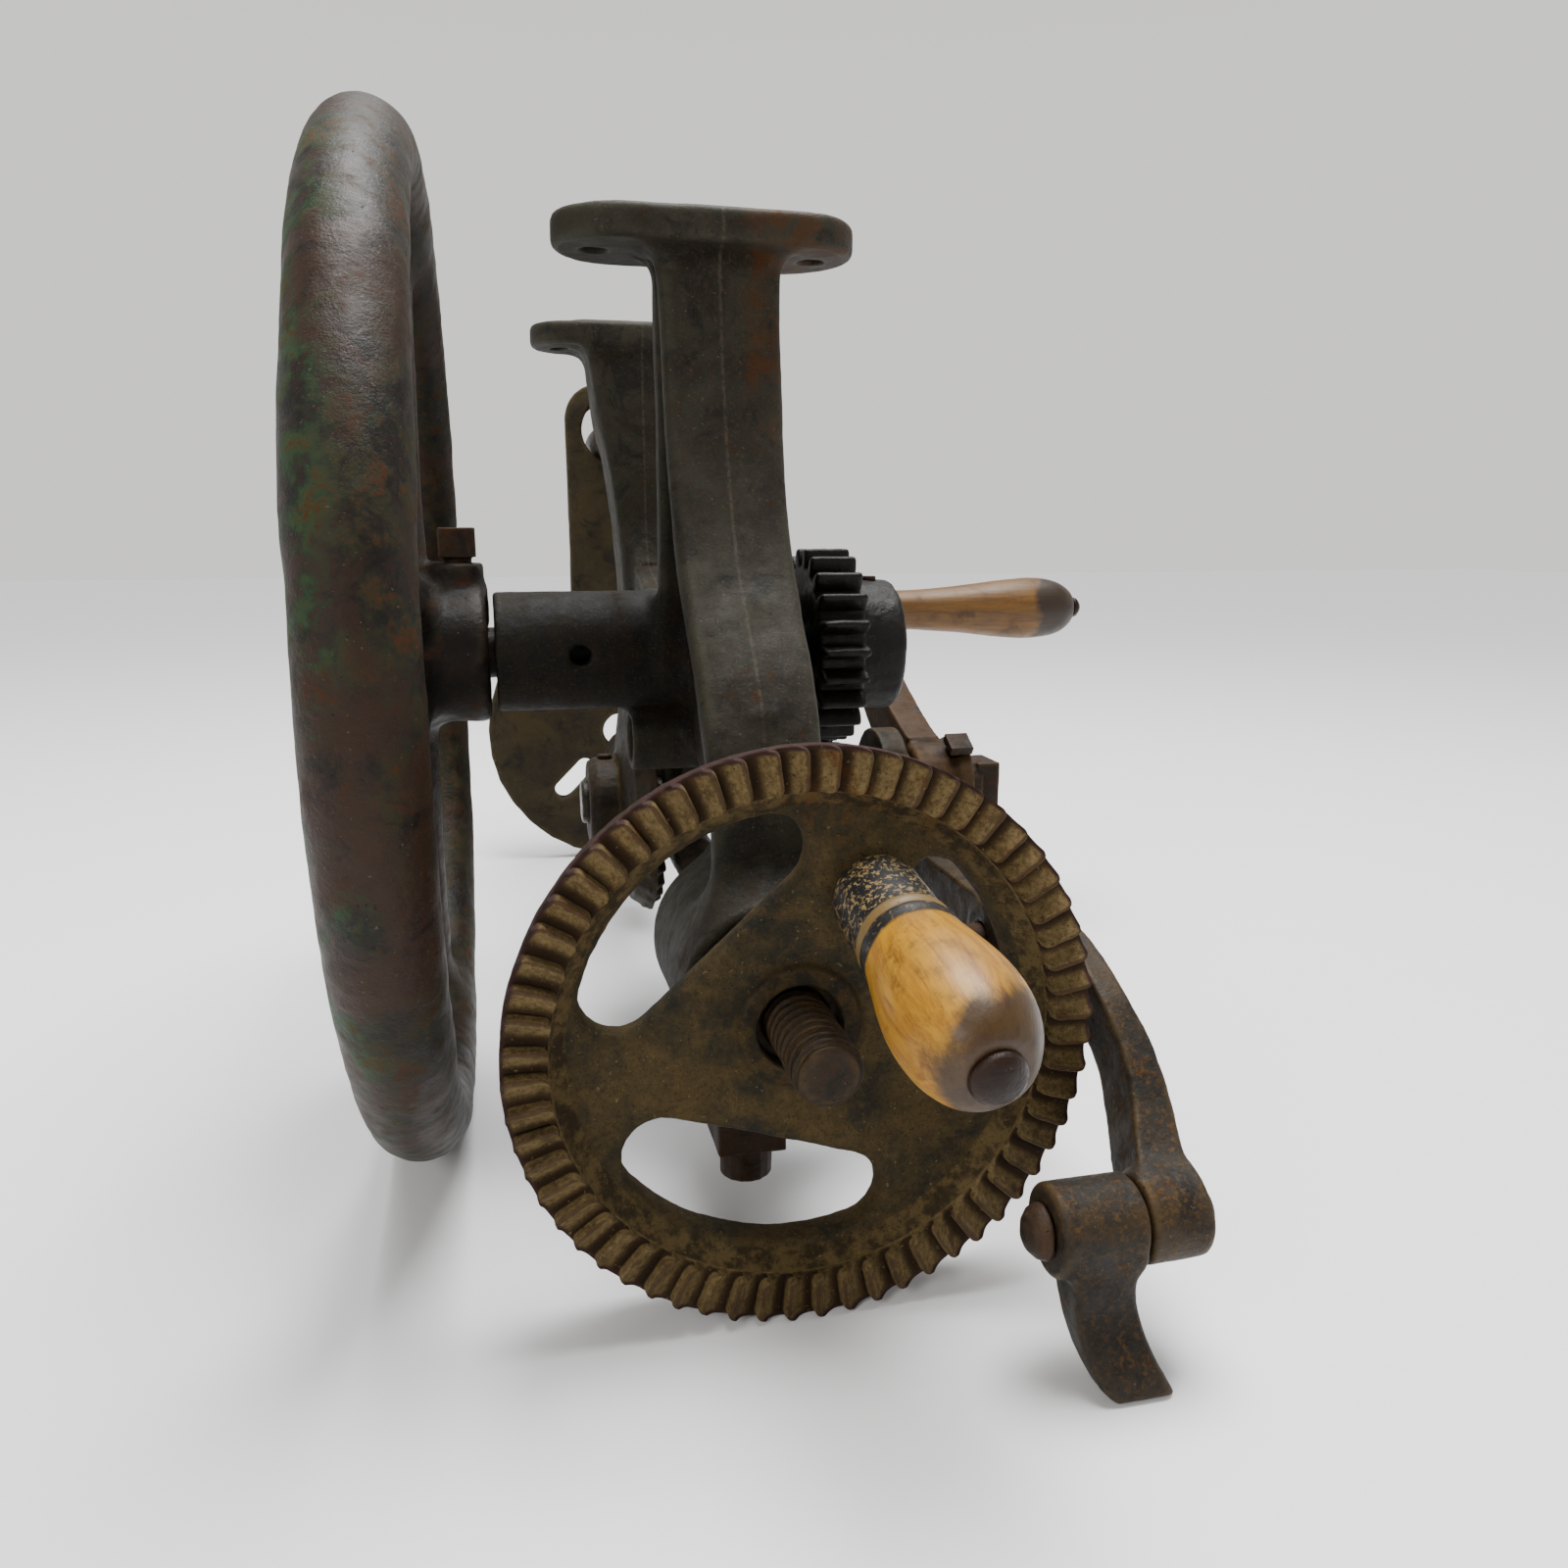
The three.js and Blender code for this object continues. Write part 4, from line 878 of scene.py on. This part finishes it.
def flywheel():
    g = Grid((FLY_X - 17, SHAFT[1] - 181, SHAFT[2] - 181),
             (FLY_X + 30, SHAFT[1] + 181, SHAFT[2] + 181), 1.3)
    x, y, z = g.x - FLY_X, g.y - SHAFT[1], g.z - SHAFT[2]
    radius = np.hypot(y, z)
    around = np.hypot(radius - RIM_R, x)
    rim = around - RIM_SECTION
    wheel = rod(y, z, x, 25, -14, 28.2, 2.5)
    wheel = join(wheel, rod(x - 19, y, z, 9, 10, 33, 1.5), 4)
    for i in range(SPOKES):
        across, along = turn(y, z, i * 360 / SPOKES)[::-1]
        width = np.interp(along, (16, 60, RIM_R), (13.5, 11, 9.6)).astype(np.float32)
        spoke = (np.sqrt((across / width) ** 2 + (x / (0.62 * width)) ** 2) - 1) * 0.62 * width
        spoke = np.maximum(spoke, np.maximum(8 - along, along - RIM_R))
        wheel = join(wheel, spoke, 9)
    wheel = join(wheel, rim, 11)
    wheel = without(wheel, rod(y, z, x, 9.8, -40, 50, SHARP), 0.8)
    wheel = without(wheel, rod(x - 19, y, z, 5.3, 5, 50, SHARP), 0.8)
    cast_piece("flywheel_casting", g, wheel, ["flywheel"], MATERIALS["flywheel_iron"],
               dents=[(40, 0.5, 11), (14, 0.3, 12), (4, 0.12, 13)], reach=0.7)


# ---------------------------------------------------------------- feed wheel

FEED_R = 84
FEED_RING_R = 71.5
TOOTH_COUNT = 60
TOOTH_HEIGHT = 4
RING_BACK = 8                            # Y of the toothed ring's hidden back
CREST_CORNER = 2.6                       # radius of a crest's worn corners, seen in plan
WINDOW_MIDDLES = (132, 252, 12)
TOOTH_SHAPE = [                          # along one tooth: share of its pitch, depth
    (0, 1), (0.03, 0.55), (0.06, 0.16), (0.1, 0.02), (0.15, 0), (0.2, 0.05), (0.26, 0.17),
    (0.32, 0.32), (0.38, 0.46), (0.45, 0.6), (0.53, 0.72), (0.62, 0.82), (0.72, 0.9),
    (0.82, 0.95), (0.91, 0.985), (0.97, 1),
]


def feed_teeth():
    """The ring of crown ratchet teeth: steep clockwise sides, scooped ramps."""
    reach = np.concatenate([[0, 0.25, 0.6, 1.1, 1.8, 2.6, 3.6], np.linspace(4.8, 6.25, 2)])
    radii = np.concatenate([FEED_RING_R + reach, FEED_R - reach[-2::-1]])
    worn = np.random.default_rng(71).random((TOOTH_COUNT, 3))
    shares, depths = np.array(TOOTH_SHAPE).T
    from_end = np.minimum(radii - FEED_RING_R, FEED_R - radii)
    inset = np.maximum(CREST_CORNER - from_end, 0)
    shift = CREST_CORNER - np.sqrt(np.maximum(CREST_CORNER ** 2 - inset ** 2, 0))
    shift = shift * TOOTH_COUNT / (2 * math.pi * radii) * 0.8
    rounding = 0.7 * np.exp(-from_end / 0.5)
    rings = []
    for radius, late, lower in zip(radii, shift, rounding):
        place_in_pitch = late + shares * (1 - late)
        turns = (np.arange(TOOTH_COUNT)[:, None] + 0.08 * worn[:, :1]
                 + place_in_pitch[None, :]) / TOOTH_COUNT
        crest = lower + 0.5 * worn[:, 1:2] ** 2
        depth = crest + depths[None, :] * (TOOTH_HEIGHT - crest - 0.35 * worn[:, 2:3])
        angle = (2 * math.pi * turns).ravel()
        rings.append(np.stack([radius * np.cos(angle), depth.ravel(), radius * np.sin(angle)], 1))
    backs = [ring * [1, 0, 1] + [0, RING_BACK, 0] for ring in (rings[-1], rings[0])]
    stack = [*rings, *backs]
    count = TOOTH_COUNT * len(shares)
    faces = ring_faces(count, len(stack), closed=True)
    mesh = mesh_from("feed_wheel_teeth", np.concatenate(stack), [faces])
    weathered(mesh, [(9, 0.2, 24), (2.6, 0.14, 25)], 6, 0.5)
    # The teeth's relief is their depth, 1 at the crests and -1 in the valleys; the material uses it for worn
    # crests and for painted shade in the valleys.
    height = [1 - 2 * ring[:, 1] / TOOTH_HEIGHT for ring in rings]
    height = np.concatenate([*height, np.zeros(2 * count)]).astype(np.float32)
    mesh.attributes["relief"].data.foreach_set("value", height)
    piece("feed_wheel_teeth", mesh, ["feed_wheel"], MATERIALS["feed_wheel_iron"])


def window_outline(middle):
    """A D-shaped window: round outside, straight inside, round corners."""
    rows = []
    outer, corner, corner_at = 64.7, 11, (45.5, 28.5)
    far = math.atan2(corner_at[1], corner_at[0])
    for t in np.linspace(-far, far, 15):
        rows.append((outer * math.cos(t), outer * math.sin(t)))
    for t in np.linspace(far, math.pi, 9)[1:]:
        rows.append((corner_at[0] + corner * math.cos(t), corner_at[1] + corner * math.sin(t)))
    for t in np.linspace(-math.pi, -far, 9)[:-1]:
        rows.append((corner_at[0] + corner * math.cos(t), -corner_at[1] + corner * math.sin(t)))
    c, s = math.cos(math.radians(middle)), math.sin(math.radians(middle))
    return [(u * c - v * s, u * s + v * c) for u, v in rows]


def feed_wheel():
    g = Grid((-85, 3, -85), (85, 36, 85), 0.72)
    x, y, z = g.x, g.y, g.z
    radius = np.hypot(x, z)
    front = np.interp(
        radius, (0, 17.6, 19, 30, 56, 66.5, 71, 71.6),
        (13.6, 14.6, 17, 15, 12.5, 10.5, 5.6, 5),
    ).astype(np.float32)
    back = np.interp(radius, (0, 26, 27, 30, 72, 74, 80), (35, 35, 24, 22, 22, 24, 24))
    side = np.interp(y, (0, 11, 24), (83.4, 83.4, 80)).astype(np.float32)
    wheel = both((front - y) * 0.8, y - back.astype(np.float32), 1.2)
    wheel = both(wheel, radius - side, 2)
    boss = rod(x - 17.5, z - 43, y, 14.2, 10.4, 20, 1.5)
    wheel = join(wheel, boss, 8)
    for middle in WINDOW_MIDDLES:
        wheel = without(wheel, polygon(x, z, window_outline(middle)), 3)
    wheel = without(wheel, radius - 12.4 + 0 * y, 1.2)
    axis = np.array(FEED_GRIP_AXIS)
    offset = [x - FEED_GRIP[0], y - FEED_GRIP[1], z - FEED_GRIP[2]]
    along = sum(o * a for o, a in zip(offset, axis))
    across = np.sqrt(sum((o - along * a) ** 2 for o, a in zip(offset, axis)))
    wheel = without(wheel, across - 4.3, 0.5)
    cast_piece("feed_wheel_casting", g, wheel, ["feed_wheel"], MATERIALS["feed_wheel_iron"],
               dents=[(12, 0.22, 21), (3.4, 0.14, 22), (1.3, 0.06, 23)], passes=14, reach=0.55)
    feed_teeth()


# --------------------------------------------------------------------- gears

MODULE = 3.175
GEAR_LOW = 37
GEAR_HIGH = 55.5


def involute(angle):
    return math.tan(angle) - angle


def gear_outline(teeth, first_tooth, thinning=0.5):
    pitch = MODULE * teeth / 2
    base = pitch * math.cos(math.radians(20))
    tip = pitch + 0.95 * MODULE
    root = pitch - 1.25 * MODULE
    middle = math.pi / (2 * teeth) - thinning / (2 * pitch) + involute(math.acos(base / pitch))
    flank = [root, *np.linspace(max(base, root + 0.3), tip, 5)]
    half = [middle if r < base else middle - involute(math.acos(base / r)) for r in flank]
    rows = []
    for i in range(teeth):
        centre = first_tooth + i * 2 * math.pi / teeth
        rows += [(r * math.cos(centre - h), r * math.sin(centre - h)) for r, h in zip(flank, half)]
        rows += [
            (r * math.cos(centre + h), r * math.sin(centre + h))
            for r, h in zip(flank[::-1], half[::-1])
        ]
    return rows


def drive_pinion():
    g = Grid((36, SHAFT[1] - 39, SHAFT[2] - 39), (82, SHAFT[1] + 39, SHAFT[2] + 39), 0.7)
    x, y, z = g.x, g.y - SHAFT[1], g.z - SHAFT[2]
    towards = math.atan2(CRANK[2] - SHAFT[2], CRANK[1] - SHAFT[1])
    teeth = prism(polygon(y, z, gear_outline(22, towards)), x, GEAR_LOW, GEAR_HIGH, 1.4)
    gear = join(teeth, rod(y, z, x, 25.6, 50, 73.5, 2.4), 2)
    gear = without(gear, np.hypot(y, z) - 9.8 + 0 * x, 0.8)
    gear = without(gear, rod(x - 65, y, z, 3.3, -40, 40, SHARP), 0.8)
    cast_piece("drive_pinion_casting", g, gear, ["drive_pinion"], MATERIALS["gear_iron"],
               dents=[(9, 0.25, 31), (3, 0.14, 32)], passes=8, reach=0.5)


# ----------------------------------------------------------- lever and pawl

LEVER_PATH = [                           # X, Y, Z, half thickness, half height
    (93, 182, 3, 4.5, 6), (93, 146, -1, 4.5, 9), (93, 116, -4, 5, 12), (93, 98, -6, 5.5, 14),
    (93, 80, -6, 5.5, 14), (93.5, 60, 2, 5, 11), (91, 40, 8, 4.8, 9.5), (91.5, 24, 5, 4.6, 9.2),
    (92.3, 10, -2, 4.6, 9.2), (94.5, 0, -12, 5.2, 9.4), (94, -10, -23.5, 6, 9.6),
    (91.5, -20, -33, 6.8, 10), (89.5, -29, -38.2, 7.4, 9.6),
]


def bar_along(grid, stations, edge):
    """A bar of rectangular section along a path, its height across X."""
    rows = smooth_path(stations, 110)
    along = np.gradient(rows[:, :3], axis=0)
    along /= np.linalg.norm(along, axis=1)[:, None]
    up = np.column_stack([0 * along[:, 0], -along[:, 2], along[:, 1]])
    up /= np.linalg.norm(up, axis=1)[:, None]
    side = np.cross(along, up)
    shape = np.broadcast_shapes(grid.x.shape, grid.y.shape, grid.z.shape)
    nearest = np.full(shape, 1e9, np.float32)
    index = np.zeros(shape, np.int32)
    for i, (px, py, pz) in enumerate(rows[:, :3]):
        far = (grid.x - px) ** 2 + (grid.y - py) ** 2 + (grid.z - pz) ** 2
        closer = far < nearest
        nearest = np.where(closer, far, nearest)
        index = np.where(closer, i, index)
    table = rows.astype(np.float32)
    offset = [grid.x - table[index, 0], grid.y - table[index, 1], grid.z - table[index, 2]]

    def dot(vectors):
        v = vectors.astype(np.float32)[index]
        return offset[0] * v[..., 0] + offset[1] * v[..., 1] + offset[2] * v[..., 2]

    s, u, t = dot(side), dot(up), dot(along)
    bar = rounded(np.abs(s) - table[index, 3] + edge, np.abs(u) - table[index, 4] + edge, edge)
    return np.maximum(bar, np.abs(t) - 2.5)


def feed_lever():
    g = Grid((80, -50, -58), (106, 194, 20), 0.8)
    x, y, z = g.x, g.y, g.z
    lever = bar_along(g, LEVER_PATH, 1.6)
    eyes = (                             # centre (Y, Z), boss, its fillet, bore
        (LEVER_PIVOT[1:], (13, 86.5, 99.5, 1), 5, (6.85, 70, 120)),
        (PAWL_PIVOT[1:], (12, 79.4, 97.6, 1.6), 4, (5.3, 60, 120)),
        ((184, 4), (7.5, 88.5, 97.5, 1), 3, (3.5, 70, 120)),
    )
    for centre, boss, fillet, _ in eyes:
        lever = join(lever, rod(y - centre[0], z - centre[1], x, *boss), fillet)
    for centre, *_, bore in eyes:
        lever = without(lever, rod(y - centre[0], z - centre[1], x, *bore, SHARP), 0.6)
    cast_piece("feed_lever_forging", g, lever, ["feed_lever"], MATERIALS["lever_iron"],
               dents=FORGED, passes=7, reach=0.4)


def curve(start, control_a, control_b, end, count=10):
    """Points of a cubic curve, without its first."""
    rows = []
    for t in np.linspace(0, 1, count + 1)[1:]:
        weights = ((1 - t) ** 3, 3 * t * (1 - t) ** 2, 3 * t * t * (1 - t), t ** 3)
        rows.append(tuple(
            sum(w * p[i] for w, p in zip(weights, (start, control_a, control_b, end)))
            for i in (0, 1)
        ))
    return rows


def pawl():
    g = Grid((52, PAWL_PIVOT[1] - 22, -86), (90, PAWL_PIVOT[1] + 14, -28), 0.55)
    x, y, z = g.x, g.y - PAWL_PIVOT[1], g.z - PAWL_PIVOT[2]
    side = [(8, -8), *curve((8, -8), (8, -20), (0, -32), (-10, -42)), (-17.4, -42.2)]
    side += curve((-17.4, -42.2), (-19.4, -35), (-9, -27), (-8.6, -19))
    side += curve((-8.6, -19), (-8.2, -13), (-10, -11), (-10.4, -6))
    front = [(60, -4), *curve((60, -4), (60, -18), (60, -30), (64, -38))]
    front += [(68.4, -42.3), (85.5, -42.3)]
    front += curve((85.5, -42.3), (80, -34), (77, -24), (77, -4))
    blade = both(polygon(y, z, side) + 0 * x, polygon(x, z, front) + 0 * y, 2.2)
    shape = join(blade, rod(y, z, x, 12.3, 54.2, 78.6, 1.8), 4)
    shape = without(shape, rod(y, z, x, 5.8, 30, 100, SHARP), 0.6)
    cast_piece("pawl_forging", g, shape, ["pawl"], MATERIALS["lever_iron"],
               dents=FORGED, passes=8, reach=0.4)


# --------------------------------------------------------------- feed screw

SCREW_R = 9.6
SCREW_LOW = -17
SCREW_HIGH = 118
PITCH = 4.23
THREAD_DEPTH = 1.5


def feed_screw():
    """A worn square thread, with a chamfered end."""
    segments, spacing = 96, 0.32
    y = np.arange(SCREW_LOW, SCREW_HIGH + 2, spacing)
    angle = np.arange(segments) * 2 * math.pi / segments
    phase = np.mod(y[:, None] / PITCH + angle[None, :] / (2 * math.pi), 1)
    crest = np.clip((0.5 - np.abs(phase - 0.5) - 0.17) / 0.16, 0, 1)
    crest = crest * crest * (3 - 2 * crest)
    radius = SCREW_R - THREAD_DEPTH * (1 - crest)
    chamfer = 7.4 + (y[:, None] - SCREW_LOW) * 1.3
    plain = np.where(y[:, None] > SCREW_HIGH, 7, SCREW_R)
    radius = np.minimum(np.minimum(radius, chamfer), plain)
    rings = np.stack([
        radius * np.cos(angle), np.repeat(y[:, None], segments, axis=1), -radius * np.sin(angle),
    ], axis=2)
    caps = []
    for ring, y_end in ((rings[0], y[0]), (rings[-1], y[-1])):
        shrunk = [ring * [share, 0, share] + [0, y_end, 0] for share in (0.03, 0.3, 0.6, 0.85)]
        caps.append(shrunk)
    stack = [*caps[0], *rings, *caps[1][::-1]]
    points = np.concatenate(stack)
    faces = [ring_faces(segments, len(stack)), *end_faces(segments, len(stack))]
    mesh = mesh_from("feed_screw_thread", points, faces)
    weathered(mesh, [(6, 0.12, 41), (1.8, 0.1, 42)], 6, 0.35)
    piece("feed_screw_thread", mesh, ["feed_screw"], MATERIALS["screw_iron"])


# ------------------------------------------------------------ wooden handles

FEED_PROFILE = [
    (4.5, 1), (11.2, 1), (12.5, 2.6), (12.8, 8), (12.9, 14), (13.1, 23), (13.6, 25.6),
    (13.4, 28), (13.9, 29.6), (13.9, 33), (14.2, 35), (14.7, 38), (15.7, 43),
    (16.6, 48), (17.2, 53), (17.4, 58), (17.2, 63), (16.5, 68), (15.2, 72.4),
    (13.6, 75.8), (11.6, 78.6), (9.6, 80.3), (7.6, 80.9), (4.5, 81),
]
CRANK_PROFILE = [
    (4.5, 125.4), (9.8, 125.6), (11.2, 126.8), (11.5, 129), (11, 136), (11.1, 148),
    (12, 162), (13.4, 177), (15, 191), (16.5, 204), (17.2, 214), (17, 222), (16, 230),
    (14.2, 236), (11.4, 240.6), (8.4, 243.4), (6, 244.4), (4.5, 244.5),
]


def place_along(base, axis):
    """Local Y along axis, from a base given in millimetres."""
    turned = Vector((0, 1, 0)).rotation_difference(Vector(axis)).to_matrix().to_4x4()
    return Matrix.Translation(Vector(base) * MM) @ turned


def smooth_profile(profile):
    rows = smooth_path(profile, 6 * len(profile))
    rows[:, 0] = np.maximum(rows[:, 0], 4.4)
    return [tuple(row) for row in rows]


def handle(name, profile, node, base, axis):
    mesh = turned_mesh(name, smooth_profile(profile), 96)
    weathered(mesh, [(16, 0.2, 51), (5, 0.06, 52)], 8, 0.5)
    return piece(name, mesh, [node], MATERIALS[SLOTS[node]], place_along(base, axis))


def feed_handle():
    handle("feed_handle_wood", FEED_PROFILE, "feed_grip", FEED_GRIP, FEED_GRIP_AXIS)
    rivet = [(0.05, -11.5), (3.4, -11.5), (4, -10.8), (4, 80.4), (6.9, 80.6), (7, 81.8),
             (6.6, 82.9), (5.4, 83.9), (3.7, 84.6), (1.8, 84.9), (0.05, 85)]
    mesh = turned_mesh("feed_handle_rivet", rivet, 64, 0.5)
    weathered(mesh, [(4, 0.18, 53)], 6, 0.25)
    piece("feed_handle_rivet", mesh, ["feed_grip_bolt"], MATERIALS["rivet_iron"],
          place_along(FEED_GRIP, FEED_GRIP_AXIS))


def crank_handle():
    base = (0, CRANK_GRIP[1], CRANK_GRIP[2])
    handle("crank_handle_wood", CRANK_PROFILE, "crank_grip", base, (1, 0, 0))


def pawl_rivet():
    profile = [(0.05, 47.4), (2.4, 47.7), (4.8, 48.8), (6.6, 50.6), (7.4, 52.5), (7.4, 53.2),
               (4.9, 53.3), (4.9, 98), (7.3, 98), (7.3, 99.6), (5.6, 100.6), (0.05, 100.8)]
    mesh = turned_mesh("pawl_rivet_head", profile, 56, 0.6)
    weathered(mesh, [(4, 0.2, 61), (1.5, 0.06, 62)], 6, 0.25)
    piece("pawl_rivet_head", mesh, ["pawl_rivet"], MATERIALS["rusty_fastener"],
          place_along((0, PAWL_PIVOT[1], PAWL_PIVOT[2]), (1, 0, 0)))


# -------------------------------------------------------------- other pieces

REFINED = {                              # CAD nodes kept in shape: grid step in mm
    "table": 1.3, "bull_gear": 0.8, "crown_gear": 0.75, "crank_arm": 0.9, "feed_cam": 0.8,
    "column": 0.9, "flywheel_shaft": 0.8, "crankshaft": 0.8, "spindle": 0.8,
    "chuck": 0.7, "feed_nut": 0.8, "nut_collar": 0.7, "lever_stud": 0.7,
    "spindle_pinion": 0.6, "thrust_washer": 0.5, "crankshaft_end_nut": 0.6,
    "boss_bolt": 0.45, "boss_nut": 0.5, "flywheel_screw": 0.45, "pinion_pin": 0.3,
    "bull_gear_screw": 0.4, "crown_gear_pin": 0.3, "crank_arm_screw": 0.45,
    "crank_grip_bolt": 0.5, "follower_pin": 0.4, "nut_collar_screw": 0.4,
    "chuck_screw": 0.4, "table_clamp_screw": 0.45,
}
HEAVY_CASTINGS = ("table", "bull_gear", "crown_gear", "crank_arm")

main_casting()
flywheel()
feed_wheel()
drive_pinion()
feed_lever()
pawl()
feed_screw()
feed_handle()
crank_handle()
pawl_rivet()
for node, step in REFINED.items():
    heavy = node in HEAVY_CASTINGS
    refined_piece(node, MATERIALS[SLOTS[node]], step, 6 if step > 0.6 else 3,
                  CAST if heavy else SMALL, 0.5 if heavy else 0.25)


# ------------------------------------------------------ floor, light, camera

def plain_floor():
    size = 6                             # metres from the middle to a side
    mesh = bpy.data.meshes.new("floor")
    corners = [(-size, -size, 0), (size, -size, 0), (size, size, 0), (-size, size, 0)]
    mesh.from_pydata(corners, [], [(0, 1, 2, 3)])
    floor = bpy.data.objects.new("floor", mesh)
    floor.location.z = FLOOR
    show(floor)
    s = Shader("pale_floor")
    mesh.materials.append(s.finish((0.8, 0.8, 0.81, 1), 0.9))


def area_light(name, place, target, size, power, colour=(1, 1, 1)):
    data = bpy.data.lights.new(name, "AREA")
    data.shape = "DISK"
    data.size = size
    data.energy = power
    data.color = colour
    light = bpy.data.objects.new(name, data)
    light.location = Vector(ORIGIN) + Vector(place)
    aim = Vector(ORIGIN) + Vector(target) - light.location
    light.rotation_euler = aim.to_track_quat("-Z", "Y").to_euler()
    show(light)


SKY_POWER = 2.6                          # an even light from above, all over the floor
SKY_WIDTH = 50                           # degrees
SKY_TILT = (-14, 8)                      # degrees about X and Y
WORLD_FALL = (0.3, 0.75, 1.0, 0.3)       # from this height to that, this strength to that


def lighting():
    middle = (-0.02, 0.15, 0.05)
    area_light("overhead", (0.15, 0.25, 1.5), middle, 0.9, 42)
    area_light("front_left", (-1.2, -1.0, 1.0), middle, 0.7, 12, (1, 0.98, 0.95))
    data = bpy.data.lights.new("sky", "SUN")
    data.energy = SKY_POWER
    data.angle = math.radians(SKY_WIDTH)
    sky = bpy.data.objects.new("sky", data)
    sky.rotation_euler = (*map(math.radians, SKY_TILT), 0)
    show(sky)
    world = bpy.data.worlds.new("studio")
    world.use_nodes = True
    tree = world.node_tree
    direction = tree.nodes.new("ShaderNodeTexCoord")
    split = tree.nodes.new("ShaderNodeSeparateXYZ")
    tree.links.new(direction.outputs["Generated"], split.inputs[0])
    fall = tree.nodes.new("ShaderNodeMapRange")
    fall.interpolation_type = "SMOOTHSTEP"
    for limit, value in zip(("From Min", "From Max", "To Min", "To Max"), WORLD_FALL):
        fall.inputs[limit].default_value = value
    tree.links.new(split.outputs[2], fall.inputs["Value"])
    background = tree.nodes["Background"]
    background.inputs["Color"].default_value = (1, 0.985, 0.965, 1)
    tree.links.new(fall.outputs["Result"], background.inputs["Strength"])
    bpy.context.scene.world = world


CAMERA_PLACE = (-0.0783, -0.2907, 0.1384)     # metres from the spindle's origin
CAMERA_TURN = 13.5                            # degrees to the right of +Y
CAMERA_DROP = 12.0                            # degrees below level
LENS = 27.05                                  # millimetres, on a 36 mm sensor


def camera():
    data = bpy.data.cameras.new("camera")
    data.lens = LENS
    data.sensor_width = 36
    data.clip_start = 0.01
    eye = bpy.data.objects.new("camera", data)
    eye.location = Vector(ORIGIN) + Vector(CAMERA_PLACE)
    eye.rotation_euler = (
        math.radians(90 - CAMERA_DROP), 0, math.radians(-CAMERA_TURN))
    show(eye)
    bpy.context.scene.camera = eye


plain_floor()
lighting()
camera()
